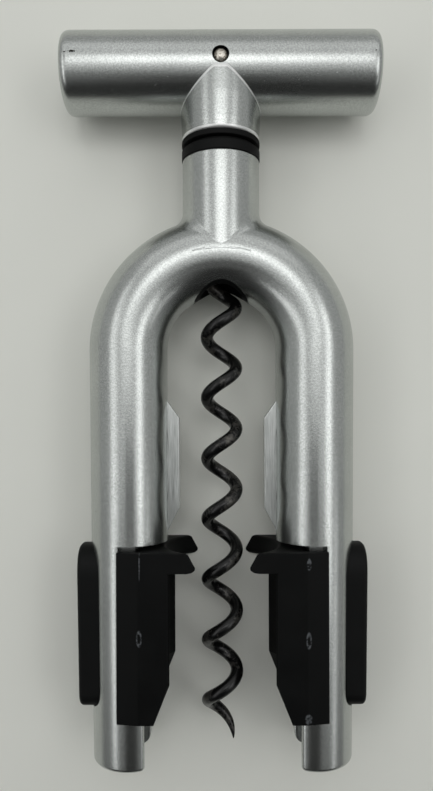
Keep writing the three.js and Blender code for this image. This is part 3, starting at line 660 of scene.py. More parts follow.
def collar():
    """Rows from the foot's round up the taper to the notch, over its bright rim, down the
    saddle to the bore, and back down the bore, so that the last row meets the first. The head
    is a little wider at its sides than in front, by the sine of the angle squared."""
    foot, bore, rim = COLLAR_FOOT, COLLAR_BORE, COLLAR_RIM
    top = COLLAR_FRONT + COLLAR_SIDE_EXTRA * np.sin(ROUND) ** 2
    rise = lambda y: np.clip((y - foot) / COLLAR_TAPER, 0, 1)
    wall = lambda y: COLLAR_RADIUS + (top - COLLAR_RADIUS) * rise(y)
    corner = (COLLAR_RADIUS, foot)
    low = rounded([(bore, foot), corner, (COLLAR_RADIUS + 0.03, foot + 1.6)], 0.75)
    radius = [np.full(COLUMNS, r) for r, _ in low]
    height = [np.full(COLUMNS, y) for _, y in low]
    crest = saddle(top - rim, ROUND)
    for share in np.linspace(0, 1, 21)[1:]:
        y = low[-1][1] + (crest - rim - low[-1][1]) * share
        radius.append(wall(y))
        height.append(y)
    edge = len(radius) - 1
    for a in np.linspace(0, np.pi / 2, 6)[1:]:
        radius.append(wall(crest) - rim * (1 - np.cos(a)))
        height.append(crest - rim * (1 - np.sin(a)))
    inner = wall(crest) - rim
    for share in np.linspace(0, 1, 9)[1:]:
        radius.append(inner + (bore - inner) * share)
        height.append(saddle(radius[-1], ROUND))
    radius, height = np.array(radius), np.array(height)
    points = np.stack([radius * np.sin(ROUND), height, radius * np.cos(ROUND)], -1)
    return grid(points, True), edge


shell, rim_row = collar()
stem = piece("notched_collar", [shell])
finish(stem, "handle_collar", "handle", satin_casting("satin_chrome_on_stem"))
stem.data.materials.append(highlight_rim_paint)
# Faces are numbered row by row, so a face's row tells whether it is part of a rim with the painted
# highlight.
FOOT_ROWS, TOP_ROWS = range(1, 6), range(rim_row - 1, rim_row + 5)
row = np.arange(len(shell[1])) // COLUMNS
bright = np.isin(row, [*FOOT_ROWS, *TOP_ROWS])
stem.data.polygons.foreach_set("material_index", bright.astype(np.int32))
print("bright rim faces:", int(bright.sum()), "of", len(bright))

# %% [markdown]
# A steel pin goes right through bar and spindle and holds them together. Its domed end lies just
# under the bar's surface in its hole, so the hole's edge makes a dark ring round it, deepened by
# painted shade on the pin's edge.

# %% Cross pin
# The pin's radius, how far it lies under the bar's surface, its end's flat and its dome's height.
PIN, PIN_SUNK, PIN_FACE, PIN_DOME = 1.62, 0.05, 0.85, 0.7
pin_end = BAR - PIN_SUNK
dome_corners = [(PIN, pin_end - 2.5), (PIN, pin_end - PIN_DOME), (PIN_FACE, pin_end), (0, pin_end)]
dome = rounded(dome_corners, 0.5, 6)
pin_profile = np.concatenate([(dome * (1, -1))[::-1], dome])
pin = piece("domed_cross_pin", turned(pin_profile, "z", 48, (0, BAR_Y, 0)))
print(f"the pin is {2 * PIN} mm thick and {2 * pin_end:.1f} mm long")


# %% [markdown]
# The pin is plain drawn steel. It was driven in and rubbed since: its dome is bright. The brown
# ring round its edge is painted shade, the shadow in the gap of its hole, with a brown tint.

# %% Pin steel
def pin_steel():
    """Bright inside a radius round the pin's axis and brown outside it, the brown being painted
    shade of the gap in the hole; the border is made ragged by a fine noise, which also flecks the
    dome."""
    made, tree, shader, where = material("pin_steel_with_painted_shade")
    axis = (0, -(BAR_Y + ARCH_Y) / 1000, 0)
    on_axis = node(tree, "Mapping", Vector=where, Location=axis, Scale=(1, 1, 0))
    away = node(tree, "VectorMath", "Value", operation="LENGTH", in_0=on_axis)
    speck = node(tree, "TexNoise", Vector=where, Scale=1000 / 0.4, Detail=2.0)
    ragged = node(tree, "Math", operation="MULTIPLY_ADD", in_0=speck, in_1=0.0004, in_2=away)
    edge = node(tree, "MapRange", Value=ragged, From_Min=0.00145, From_Max=0.00175)
    stained = node(tree, "MapRange", Value=speck, From_Min=0.52, From_Max=0.6)
    # The dark brown outer tone is painted shade: the shadow in the gap round the pin, with a brown
    # tint.
    clean, fleck, painted_gap_shade = linear("#d2cdc4"), linear("#8d8478"), linear("#4a433a")
    top = node(tree, "Mix", 2, data_type="RGBA", in_0=stained, in_6=clean, in_7=fleck)
    colour = node(tree, "Mix", 2, data_type="RGBA", in_0=edge, in_6=top, in_7=painted_gap_shade)
    gloss = node(tree, "MapRange", Value=edge, To_Min=0.36, To_Max=0.6)
    raised = node(tree, "Bump", Height=speck, Distance=0.00005, Strength=0.5)
    fill(tree, shader, Base_Color=colour, Metallic=1.0, Roughness=gloss, Normal=raised)
    return made


finish(pin, "cross_pin", "handle", pin_steel())


# %% [markdown]
# The worm is spring steel wire, wound, ground to a point and coated black so that it slips
# through cork. The coat is worn grey in patches where corks have rubbed it.

# %% Worm
# Radii of the wire and of the coil; the pitch, and the height of one crest in front.
WIRE, COIL, PITCH, FRONT_CREST = 1.45, 3.4, 14.07, 6.42
# Heights at which the stem, the ease and the coil start, and at which the coil ends.
STEM_TOP, EASE_TOP, COIL_TOP, COIL_END = 35.5, 24.5, 15.5, 13 - LEG
# The ground tip: its length, how far round it turns, and its radius at the point.
TIP_LENGTH, TIP_TURN, TIP_RADIUS = 10.3, 0.8 * np.pi, 0.12


def worm_path():
    """Height falls evenly while the wire turns once a pitch. The reach eases from 0 on the stem
    to the coil's radius as 3s^2 - 2s^3. Along the tip t runs from 0 to 1: the wire turns by
    1 - (1-t)^2 of the tip's turn, so it straightens, and it thins to a point with t^2."""
    turn_at = lambda y: 2 * np.pi * (y - FRONT_CREST) / PITCH
    stem = np.linspace(STEM_TOP, EASE_TOP, 6)[:-1]
    ease = np.linspace(EASE_TOP, COIL_TOP, 44)[:-1]
    coil = np.linspace(COIL_TOP, COIL_END, 440)[:-1]
    s = (EASE_TOP - ease) / (EASE_TOP - COIL_TOP)
    t = np.linspace(0, 1, 48)
    height = np.concatenate([stem, ease, coil, COIL_END - TIP_LENGTH * t])
    end_turn = turn_at(COIL_END) - TIP_TURN * (1 - (1 - t) ** 2)
    stem_turn = turn_at(EASE_TOP) + 0 * stem
    turn = np.concatenate([stem_turn, turn_at(ease), turn_at(coil), end_turn])
    full = np.full(len(coil) + len(t), COIL)
    reach = np.concatenate([0 * stem, COIL * s * s * (3 - 2 * s), full])
    whole = np.full(len(stem) + len(ease) + len(coil), WIRE)
    thick = np.concatenate([whole, WIRE + (TIP_RADIUS - WIRE) * t**2])
    outward = np.column_stack([np.sin(turn), np.zeros(len(turn)), np.cos(turn)])
    return np.column_stack([reach * np.sin(turn), height, reach * np.cos(turn)]), outward, thick


def wire(centre, outward, thick, sides=20):
    """Rings square to a path. Ahead is the path's slope, across is ahead times outward, and side
    is across times ahead; a ring is thick times (side cos a + across sin a) round the centre."""
    ahead = np.gradient(centre, axis=0)
    ahead /= np.linalg.norm(ahead, axis=1)[:, None]
    across = np.cross(ahead, outward)
    across /= np.linalg.norm(across, axis=1)[:, None]
    side = np.cross(across, ahead)
    angle = np.linspace(0, 2 * np.pi, sides, endpoint=False)[None, :, None]
    out = side[:, None] * np.cos(angle) + across[:, None] * np.sin(angle)
    rings = centre[:, None] + thick[:, None, None] * out
    caps = [np.broadcast_to(centre[i], (1, sides, 3)) for i in (0, -1)]
    return [grid(np.concatenate([caps[0], rings, caps[1]]))]


worm_shells = wire(*worm_path())
print(f"the worm turns {(COIL_TOP - COIL_END) / PITCH:.1f} times before its tip")

# %% [markdown]
# The worm's coat is a black slick one, such as PTFE in a baked lacquer. It is a little glossy,
# and where it is rubbed thin the steel under it shows grey and more metallic, in ragged patches.

# %% Slick coat
def worm_coat():
    """Black coat, worn grey where a slow noise, drawn out along the worm, plus a quarter of a
    fine one is high; there it is more metallic, and rougher."""
    made, tree, shader, where = material("black_slick_coat_on_steel")
    along = node(tree, "Mapping", Vector=where, Scale=(1, 1 / 1.6, 1))
    patch = node(tree, "TexNoise", Vector=along, Scale=1000 / 5, Detail=4.0, Roughness=0.62)
    fleck = node(tree, "TexNoise", Vector=where, Scale=1000 / 0.6, Detail=3.0)
    both = node(tree, "Math", operation="MULTIPLY_ADD", in_0=fleck, in_1=0.25, in_2=patch)
    worn = node(tree, "MapRange", Value=both, From_Min=0.66, From_Max=0.78)
    coat, bare = linear("#0e0e0e"), linear("#5c5a56")
    colour = node(tree, "Mix", 2, data_type="RGBA", in_0=worn, in_6=coat, in_7=bare)
    metal = node(tree, "MapRange", Value=worn, To_Min=0.25, To_Max=0.85)
    gloss = node(tree, "MapRange", Value=worn, To_Min=0.26, To_Max=0.4)
    raised = node(tree, "Bump", Height=fleck, Distance=0.00002, Strength=0.5)
    fill(tree, shader, Base_Color=colour, Metallic=metal, Roughness=gloss, Normal=raised)
    return made


screw_worm = piece("ground_wire_worm", worm_shells)
finish(screw_worm, "worm", "handle", worm_coat(), 60)


# %% [markdown]
# All the black parts but the worm are moulded in a filled nylon. Its tool was spark-eroded, which
# leaves an even matt texture of about 0.05 mm, drawn here at 0.35 mm so that it shows. Handling
# polishes it in places. It reflects little, so its specular level is low.

# %% Moulded black plastic
def moulded_black(name, tone, rough, texture_size, handled_tone="#0d0e0e", patch=7, shine=0.14):
    """Moulded black plastic: fine bumps of the texture's size, and where a noise as slow as the
    patches is high, the tone goes to the handled one and the surface is rougher by 0.1."""
    made, tree, shader, where = material(name)
    texture = node(tree, "TexNoise", Vector=where, Scale=1000 / texture_size, Detail=2.0)
    handled = node(tree, "TexNoise", Vector=where, Scale=1000 / patch, Detail=3.0)
    share = node(tree, "MapRange", Value=handled, From_Min=0.4, From_Max=0.75)
    fresh, worn, dull = linear(tone), linear(handled_tone), rough + 0.1
    colour = node(tree, "Mix", 2, data_type="RGBA", in_0=share, in_6=fresh, in_7=worn)
    gloss = node(
        tree, "MapRange", Value=handled, From_Min=0.3, From_Max=0.7, To_Min=rough, To_Max=dull
    )
    raised = node(tree, "Bump", Height=texture, Distance=0.00002, Strength=0.6)
    fill(tree, shader, Base_Color=colour, Roughness=gloss, Specular_IOR_Level=shine, Normal=raised)
    return made


sleeve_plastic = moulded_black("moulded_sleeve_plastic", "#080909", 0.5, 0.35)

# %% [markdown]
# The moulded sleeve lines the neck's bore. Its flange is the lower black ring, a groove over it
# keeps grit from the washer, and its foot shows as a black crescent under the arch, because it
# was trimmed to follow the arch's underside.

# %% Sleeve
def arch_underside(radius, turn):
    """Height of the arch's lower surface at that radius and angle from the neck's axis: the arch's
    radius less the tube's half width there, then taken back by the distance sideways."""
    side, deep = radius * np.sin(turn), radius * np.cos(turn)
    half_width = np.sqrt(np.maximum(TUBE**2 - deep**2, 0))
    return np.sqrt((ARCH - half_width) ** 2 - side**2)


# The bush's foot and its radius in the neck; radius and top of the groove over its flange.
SLEEVE_FOOT, SLEEVE, GROOVE, GROOVE_TOP = 15.6, 6.2, 7.95, FLANGE_TOP + 0.9


def sleeve_shell():
    """The bush as a closed ring of rows. Its foot is trimmed after it is pressed in: there a
    row's height is the arch's underside plus a clearance, so it dips at the sides."""
    corners = [(BORE, SLEEVE_FOOT), (SLEEVE, SLEEVE_FOOT), (SLEEVE, NECK_TOP), (RING, NECK_TOP)]
    corners += [(RING, FLANGE_TOP), (GROOVE, FLANGE_TOP), (GROOVE, GROOVE_TOP), (BORE, GROOVE_TOP)]
    path = rounded(corners + corners[:2], 0.18, 4)[1:-1]
    radius, height = path[:, :1], path[:, 1:] + 0 * ROUND
    trimmed = arch_underside(radius, ROUND) + GAP + height - SLEEVE_FOOT
    height = np.where(height < SLEEVE_FOOT + 0.5, trimmed, height)
    return grid(np.stack([radius * np.sin(ROUND), height, radius * np.cos(ROUND)], -1), True)


sleeve = piece("moulded_neck_sleeve", [sleeve_shell()])
finish(sleeve, "neck_sleeve", "frame", sleeve_plastic, 50)

# %% [markdown]
# The collar turns on a plain washer, the upper black ring. It is rubbery, so its edges are rounder
# and its surface is a little duller than the sleeve's.

# %% Washer
# The washer lies between sleeve and collar with 0.1 mm to spare at both sides.
WASHER_FOOT, WASHER_TOP = 46.95, 48.25
ring = [(BORE, WASHER_FOOT), (RING, WASHER_FOOT), (RING, WASHER_TOP), (BORE, WASHER_TOP)]
ring_path = rounded(ring + ring[:2], 0.28, 5)[1:-1]
washer = piece("black_thrust_washer", turned(ring_path, "y", 128, round_rows=True))
washer_rubber = moulded_black("washer_rubber", "#0a0a0a", 0.55, 0.5)
finish(washer, "thrust_washer", "washer", washer_rubber, 50)


# %% [markdown]
# The spindle runs from the worm's stem up into the bar. Little of it shows: a ring of steel inside
# the sleeve when the handle is lifted. It is drawn bar, bright, with fine lines along its length.

# %% Drawn steel, and the spindle
def drawn_steel(name):
    """Bright drawn steel: fine lines from the die, a noise of 0.2 mm drawn out thirty times."""
    made, tree, shader, where = material(name)
    along = node(tree, "Mapping", Vector=where, Scale=(1, 1 / 30, 1))
    lines = node(tree, "TexNoise", Vector=along, Scale=1000 / 0.2, Detail=2.0)
    pale, dark = linear("#cfd0d1"), linear("#b6b8ba")
    colour = node(tree, "Mix", 2, data_type="RGBA", in_0=lines, in_6=pale, in_7=dark)
    gloss = node(
        tree, "MapRange", Value=lines, From_Min=0.3, From_Max=0.7, To_Min=0.22, To_Max=0.34
    )
    fill(tree, shader, Base_Color=colour, Metallic=1.0, Roughness=gloss)
    return made


# The tenon in the bar, which the pin goes through: its radius, and where it starts and ends.
TENON, TENON_FOOT, TENON_TOP = 4.0, 55.05, 68.85
steps = [(0, EASE_TOP), (SPINDLE, EASE_TOP), (SPINDLE, TENON_FOOT)]
steps += [(TENON, TENON_FOOT), (TENON, TENON_TOP), (0, TENON_TOP)]
spindle = piece("drawn_spindle", turned(rounded(steps, 0.3), "y", 64))
spindle_steel = drawn_steel("drawn_spindle_steel")
finish(spindle, "spindle", "handle", spindle_steel)


# %% [markdown]
# Two thin plates stand on the legs' inner sides and stop the cork from turning. They are
# stamped, brushed along their length, and their edges are broken to a bright bevel.

# %% Brushed plate
def brushed_plate():
    """Stamped plate: lines along the fin from two noises drawn out 22 times, a fine one of 0.22
    mm plus half of a coarse one of 1.1 mm; the paler the line, the rougher."""
    made, tree, shader, where = material("brushed_fin_plate")
    along = node(tree, "Mapping", Vector=where, Scale=(1, 1 / 22, 1))
    lines = node(tree, "TexNoise", Vector=along, Scale=1000 / 0.22, Detail=3.0, Roughness=0.6)
    broad = node(tree, "TexNoise", Vector=along, Scale=1000 / 1.1, Detail=2.0)
    both = node(tree, "Math", operation="MULTIPLY_ADD", in_0=broad, in_1=0.5, in_2=lines)
    share = node(tree, "MapRange", Value=both, From_Min=0.5, From_Max=1.0)
    dark, pale = linear("#9b9e9c"), linear("#c9ccca")
    colour = node(tree, "Mix", 2, data_type="RGBA", in_0=share, in_6=dark, in_7=pale)
    gloss = node(tree, "MapRange", Value=share, To_Min=0.3, To_Max=0.46)
    raised = node(tree, "Bump", Height=both, Distance=0.00002, Strength=0.5)
    fill(tree, shader, Base_Color=colour, Metallic=1.0, Roughness=gloss, Normal=raised)
    return made


fin_metal = brushed_plate()

# %% [markdown]
# A fin is a plate with a straight inner edge and two slopes that lead the cork in and out. Both
# fins share one outline: the left one is the right one turned half round the worm.

# %% Fins
# How far out the fin's root lies; how far it stands out of the leg; its half thickness and bevel.
FIN_ROOT, FIN_PROUD, FIN_HALF, FIN_BEVEL = 13.4, 2.8, 1.0, 0.28
# Heights of the fin's ends and, between them, of the ends of its straight inner edge. The outline
# starts at a point of its straight root.
FIN_TOP, EDGE_TOP, EDGE_END, FIN_END, FIN_START = -11.8, -15.8, -36.6, -42.0, -24
# How far the corners are rounded, in the outline's order.
FIN_CORNERS = (0.1, 0.1, 0.35, 0.35, 0.1, 0.1)


def fin():
    """The fin's outline, round from its root: the root's upper corner, the slope in, the inner
    edge, the slope out, and the root's lower corner."""
    tip, root = INNER_LEG - FIN_PROUD, (FIN_ROOT, FIN_START)
    corners = [root, (FIN_ROOT, FIN_TOP), (INNER_LEG, FIN_TOP), (tip, EDGE_TOP)]
    corners += [(tip, EDGE_END), (INNER_LEG, FIN_END), (FIN_ROOT, FIN_END), root]
    return plate(rounded(corners, FIN_CORNERS, 3)[:-1], FIN_HALF, FIN_BEVEL, 2)


for side, turn_over in SIDES:
    made = piece(f"stamped_{side}_fin", turn_over(fin()))
    finish(made, f"{side}_cork_fin", "frame", fin_metal)


# %% [markdown]
# Each jaw is a moulded clip round the leg's inner side. Its section is a C: inside it the leg's
# cavity, outside it the bottle's channel. The section is carried down the leg, and two things
# change on the way: the hook reaches in at the top, and the lower corner is sloped away.

# %% Jaws
# Radii of the bottle's channel and of the space between the hooks, each with its edge's chamfer.
CHANNEL, LEAD = 15.7, 0.5
HOOK, HOOK_LEAD = 12.3, 0.3
# How far out the wall's outer side lies, a gap short of the leg's flat.
WEB = 18.146
# The cavity round the leg: the leg's radius at its shoulder and a gap, and the leg's centre there.
CAVITY, CAVITY_X = 8.836 + GAP, 21.433
# The outer face's slope starts beyond the ridge, at this width and depth.
SLOPE_WIDTH, SLOPE_DEPTH = 2.4, 10.7
# Down the hook: a row's drop, and how much further out than the hook's radius it lies. First come
# the lead-in at the top, then the face, then the round corner to the underside.
HOOK_UNDER = 49.6
HOOK_ROWS = (
    (JAW_TOP, 1.3),
    (JAW_TOP + 0.25, 0.85),
    (HOOK_UNDER - 1.3, 0.0),
    (HOOK_UNDER - 0.7, 0.05),
    (HOOK_UNDER - 0.2, 0.4),
    (HOOK_UNDER, 1.0),
)
# The lower corner is cut from this far above the jaw's foot, and this deep at the foot.
CUT_LENGTH, CUT_DEPTH = 8.6, 3.55


def arc_side(radius, edge_z, count=17):
    """Points of a circle round the worm, from a height above the middle plane down to it."""
    angle = np.linspace(math.asin(edge_z / radius), 0, count)
    return np.column_stack([radius * np.cos(angle), radius * np.sin(angle)])


def jaw_section(radius, lead):
    """Upper half of the C as x and z: the outer path from the clip's lip over the ridge, round
    the flange's tip and along the channel, and the inner path from the lip round the cavity."""
    arc = arc_side(radius, DEPTH - lead)
    edge = arc[0, 0] + lead
    face = [(OUTER, OUTER_DEPTH), (RIDGE + SLOPE_WIDTH, SLOPE_DEPTH), (RIDGE, DEPTH)]
    outer = np.concatenate([face, [((RIDGE + edge) / 2, DEPTH), (edge, DEPTH)], arc])
    lip = math.acos((OUTER - CAVITY_X) / CAVITY)
    web = math.acos((WEB - CAVITY_X) / CAVITY)
    angle = np.linspace(lip, web, 6)
    cavity = np.column_stack([CAVITY_X + CAVITY * np.cos(angle), CAVITY * np.sin(angle)])
    wall = np.column_stack([np.full(16, WEB), np.linspace(cavity[-1, 1], 0, 17)[1:]])
    return outer, np.concatenate([cavity, wall])


def jaw_ring(drop, radius, lead, cut_x):
    """A closed ring of the section at a drop, with nothing nearer the worm than the cut."""
    outer, inner = jaw_section(radius, lead)
    outer[:, 0] = np.maximum(outer[:, 0], cut_x)
    whole = lambda half: np.concatenate([half, half[-2::-1] * (1, -1)])
    ring = np.concatenate([whole(outer), whole(inner)[::-1]])
    return np.column_stack([ring[:, 0], np.full(len(ring), -drop), ring[:, 1]])


def jaw():
    """Rows down the hook, under it, at the cut's start and at the foot. The end faces are bands
    of quads between the outer and the inner path."""
    tip = math.sqrt(CHANNEL**2 - (DEPTH - LEAD) ** 2)
    rows = [(drop, HOOK + back, HOOK_LEAD, 0) for drop, back in HOOK_ROWS]
    rows += [(HOOK_UNDER, CHANNEL, LEAD, 0), (JAW_BOTTOM - CUT_LENGTH, CHANNEL, LEAD, 0)]
    rows += [(JAW_BOTTOM, CHANNEL, LEAD, tip + CUT_DEPTH)]
    rings = np.array([jaw_ring(*row) for row in rows])
    points, faces = grid(rings)
    count = rings.shape[1]
    i = np.arange(count // 2 - 1)
    band = np.stack([i, i + 1, count - 2 - i, count - 1 - i], -1)
    last = (len(rings) - 1) * count
    return [(points, np.concatenate([faces, band, band[:, ::-1] + last]))]


print(f"hooks {2 * HOOK} mm apart, channel {2 * CHANNEL} mm wide for a bottle's ring")

# %% [markdown]
# Where the tool is laid on its jaws, the plastic has rubbed to a dull grey: a thin line, small
# ovals and a spot, all on the ridge. They are worked out from each place's own centre and size.

# %% Scuffs on the jaws
# How far out each scuff lies and how far below the arch's centre, its half width and half
# length, and how much of its middle is unworn, so that it shows as a ring.
RIGHT_SCUFFS = (
    (18.8, 47.6, 0.5, 1.3, 0.0),
    (18.7, 64.1, 0.6, 1.8, 0.4),
    (18.6, 81.2, 0.8, 1.1, 0.0),
)
LEFT_SCUFFS = ((18.1, 47.4, 0.14, 3.5, 0.0), (18.2, 63.6, 0.6, 1.8, 0.45))
# Heights above the middle plane between which the wear starts: only the jaw's face is rubbed.
WORN_FROM, WORN_FULLY = 9.0, 10.6


def ridge_scuffs(tree, where, scuffs):
    """How far a place is scuffed, from 0 to 1. A scuff is where ((x - its x) / half width)^2 +
    ((y - middle) / half length)^2 is under one, but for its hollow; a noise makes it ragged."""
    either_side = node(tree, "VectorMath", operation="ABSOLUTE", in_0=where)
    along = node(tree, "SeparateXYZ", 1, Vector=where)
    out = node(tree, "SeparateXYZ", 0, Vector=either_side)
    level = node(tree, "SeparateXYZ", 2, Vector=where)
    from_z, to_z = (MID_Z + WORN_FROM) / 1000, (MID_Z + WORN_FULLY) / 1000
    front = node(tree, "MapRange", Value=level, From_Min=from_z, From_Max=to_z)
    broken = node(tree, "TexNoise", Vector=where, Scale=1000 / 0.8, Detail=3.0, Roughness=0.7)
    rubbed = 0.0
    for side, drop, half_wide, half_long, hollow in scuffs:
        middle, stretch = (ARCH_Y - drop) / 1000, (1000 / half_wide, 1000 / half_long, 0)
        off_ridge = node(tree, "Math", operation="SUBTRACT", in_0=out, in_1=side / 1000)
        off_middle = node(tree, "Math", operation="SUBTRACT", in_0=along, in_1=middle)
        both = node(tree, "CombineXYZ", X=off_ridge, Y=off_middle)
        scaled = node(tree, "VectorMath", operation="MULTIPLY", in_0=both, in_1=stretch)
        away = node(tree, "VectorMath", "Value", operation="LENGTH", in_0=scaled)
        inside = node(tree, "MapRange", Value=away, From_Min=1.1, From_Max=0.9)
        ring = node(tree, "MapRange", Value=away, From_Min=hollow, From_Max=hollow + 0.2)
        spot = node(tree, "Math", operation="MULTIPLY", in_0=inside, in_1=ring)
        rubbed = node(tree, "Math", operation="MAXIMUM", in_0=rubbed, in_1=spot)
    ragged = node(tree, "MapRange", Value=broken, From_Min=0.4, From_Max=0.56)
    on_top = node(tree, "Math", operation="MULTIPLY", in_0=rubbed, in_1=front)
    return node(tree, "Math", operation="MULTIPLY", in_0=on_top, in_1=ragged)


def scuffed_jaw(name, scuffs):
    """The jaws' moulded black, with dull grey mixed over its tone where it is scuffed."""
    made = moulded_black(name, "#060707", 0.48, 0.35, "#0b0c0c", patch=8, shine=0.12)
    tree = made.node_tree
    shader = tree.nodes["Principled BSDF"]
    scuff = ridge_scuffs(tree, node(tree, "TexCoord", "Object"), scuffs)
    plain, grey = shader.inputs["Base Color"].links[0].from_socket, linear("#54575a")
    colour = node(tree, "Mix", 2, data_type="RGBA", in_0=scuff, in_6=plain, in_7=grey)
    fill(tree, shader, Base_Color=colour)
    return made


JAW_PLASTIC = {
    "right": scuffed_jaw("moulded_right_jaw_plastic", RIGHT_SCUFFS),
    "left": scuffed_jaw("moulded_left_jaw_plastic", LEFT_SCUFFS),
}

# %% [markdown]
# The jaws are finished like the real moulding: edges softened first, then the recesses for the
# screw heads, the studs that reach into the leg, and the screws' holes through them.

# %% Mould the jaws
# How far the studs reach into and out of the wall; the recess for a screw's head; the edges.
STUD_SUNK, STUD_PROUD = 0.3, 2.6
HEAD_RADIUS, HEAD_SEAT = 2.5, 17.5
EDGE_WIDTH, EDGE_ANGLE = 0.28, math.radians(7)

for side, turn_over in SIDES:
    made = piece(f"moulded_{side}_jaw", turn_over(jaw()))
    soften = made.modifiers.new("moulded edges", "BEVEL")
    soften.width, soften.segments = EDGE_WIDTH / 1000, 3
    soften.limit_method, soften.angle_limit = "ANGLE", EDGE_ANGLE
    settle(made)
    for recess in leg_rods(HEAD_RADIUS, CHANNEL - 2, HEAD_SEAT, 40):
        combine(made, turn_over(recess), "DIFFERENCE")
    for stud in leg_rods(STUD, WEB - STUD_SUNK, WEB + STUD_PROUD, 32):
        combine(made, turn_over(stud), "UNION")
    for hole in leg_rods(SCREW_HOLE, CHANNEL - 2, WEB + 4, 32):
        combine(made, turn_over(hole), "DIFFERENCE")
    finish(made, f"{side}_jaw", f"{side}_clamp", JAW_PLASTIC[side], 40)


# %% [markdown]
# The finger pads sit in pockets on the legs' outer sides, and squeezing them closes the jaws.
# Their faces taper a little towards the end, and their edges are moulded round.

# %% Finger pads
# The foot's chamfer, the face's rounded edge, and how much lower the face lies at the pad's end.
PAD_CHAMFER, PAD_ROUND, PAD_TAPER, PAD_COLUMNS = 0.6, 0.9, 0.5, 128
# A boss on the pad's foot meets the jaw's stud, and the screw goes on into it up to here.
BOSS_START, BOSS_SUNK, SCREW_END = WEB + 2.9, 0.8, 27.3


def on_face(ring):
    """The ring carried out to the face, whose distance falls evenly by the taper as y falls."""
    fall = PAD_TAPER * (-ring[:, 1] - PAD_TOP) / PAD_LENGTH
    return np.column_stack([PAD_FACE - fall + ring[:, 0], ring[:, 1], ring[:, 2]])


def pad():
    """Rings of the pad's outline from its foot out to its face. The face's edge is a quarter
    circle: a ring lies below the face by its radius times one less the sine, and is drawn in by
    its radius times one less the cosine. Inside the edge the face shrinks to its middle."""
    theta = np.linspace(0, np.pi / 2, 7)
    lift, draw = PAD_ROUND * np.sin(theta) - PAD_ROUND, PAD_ROUND * (1 - np.cos(theta))
    ring = lambda out, grow, share=1.0: pad_ring(out, grow, share, PAD_COLUMNS)
    foot = [ring(PAD_FOOT, -PAD_CHAMFER, share) for share in (0.0, 1.0)]
    side = [ring(PAD_FOOT + PAD_CHAMFER, 0)]
    edge = [on_face(ring(out, -amount)) for out, amount in zip(lift, draw)]
    face = [on_face(ring(0, -PAD_ROUND, share)) for share in (0.6, 0.25, 0.0)]
    return [grid(np.array(foot + side + edge + face))]


pad_plastic = moulded_black("moulded_pad_plastic", "#070808", 0.5, 0.35)
for side, turn_over in SIDES:
    made = piece(f"moulded_{side}_pad", turn_over(pad()))
    for boss in leg_rods(STUD, BOSS_START, PAD_FOOT + BOSS_SUNK, 32):
        combine(made, turn_over(boss), "UNION")
    for hole in leg_rods(SCREW_HOLE, WEB + 1, SCREW_END, 32):
        combine(made, turn_over(hole), "DIFFERENCE")
    finish(made, f"{side}_squeeze_pad", f"{side}_clamp", pad_plastic, 40)

# %% [markdown]
# Between each pad and the leg sit two small springs, which push the pad out again. They are wound
# from spring wire. When the pad is pressed they shorten; here each is drawn at rest, from its seat
# in the leg to the pad's foot.

# %% Pad springs
# Radii of the wire and of the coil, and its turns; the gap at each end; how far a pad goes in.
SPRING_WIRE, SPRING_COIL, SPRING_CURLS = 0.35, 3.75, 3
SEAT_GAP, PAD_TRAVEL = 0.3, 1.5
fastener_steel = drawn_steel("bright_fastener_steel")


def pad_spring(drop):
    """A helix round x: it moves out evenly as it turns, at the coil's radius from its axis."""
    turn = np.linspace(0, 2 * np.pi * SPRING_CURLS, 24 * SPRING_CURLS + 1)
    inset_by = SEAT_GAP + SPRING_WIRE
    out = np.linspace(SPRING_SEAT + inset_by, PAD_FOOT - inset_by, len(turn))
    outward = np.column_stack([np.zeros(len(turn)), np.cos(turn), np.sin(turn)])
    centre = SPRING_COIL * outward + np.column_stack([out, np.full(len(turn), -drop), 0 * out])
    return wire(centre, outward, np.full(len(turn), SPRING_WIRE), 10)


for side, turn_over in SIDES:
    for level, drop in zip(("upper", "lower"), SCREWS):
        made = piece(f"wound_{side}_{level}_spring", turn_over(pad_spring(drop)))
        finish(made, f"{side}_{level}_pad_spring", "frame", fastener_steel, 60)
        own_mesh(made)

# %% [markdown]
# Of the four screws only the heads show, in the recesses on the jaws' inner sides. They are plain
# turned steel, so they keep their CAD shapes and only get the springs' bright steel.

# %% Steel on the carried-over nodes
for name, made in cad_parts.items():
    if name.endswith("screw"):
        for place in made.material_slots:
            place.link = "OBJECT"
            place.material = fastener_steel
            print("steel on", name)

# %% [markdown]
# The corkscrew lies on a plain pale tabletop. It is matt, so that the light comes back from it
# evenly and fills the undersides, and so large that no edge of it shows in the metal. A slow noise
# moves its tone by less than the eye notices, as on a real painted board.

# %% Tabletop
SQUARE = np.array([(-1, -1), (-1, 1), (1, 1), (1, -1)])
TABLE_HALF = 1.5


def sheet(name, corners, surface):
    """One flat face through four corners in metres, for scenery."""
    mesh = bpy.data.meshes.new(name)
    mesh.from_pydata(np.asarray(corners).tolist(), [], [(0, 1, 2, 3)])
    mesh.materials.append(surface)
    made = bpy.data.objects.new(name, mesh)
    bpy.context.scene.collection.objects.link(made)
    return made


def painted_board():
    """A matt board whose tone drifts very slightly with a noise of 30 mm."""
    made, tree, shader, where = material("plain_pale_tabletop")
    even = node(tree, "TexNoise", Vector=where, Scale=1000 / 30)
    warm, pale = linear("#e6e7e0"), linear("#ebece5")
    colour = node(tree, "Mix", 2, data_type="RGBA", in_0=even, in_6=warm, in_7=pale)
    fill(tree, shader, Base_Color=colour, Roughness=0.85)
    return made


sheet("tabletop", [(*corner, 0) for corner in SQUARE[:, ::-1] * TABLE_HALF], painted_board())
print(f"the tabletop is {2 * TABLE_HALF} m wide, at height 0")

# %% [markdown]
# A satin metal shows what is round it, so the light is what makes it look like metal. Three
# nested softboxes stand overhead, beyond the handle, and make the bright line that fades to both
# sides. Others at the sides draw the long streaks down the legs, and the darker room between
# them makes the grey bands. A light's brightness is set, and its power follows from its area.

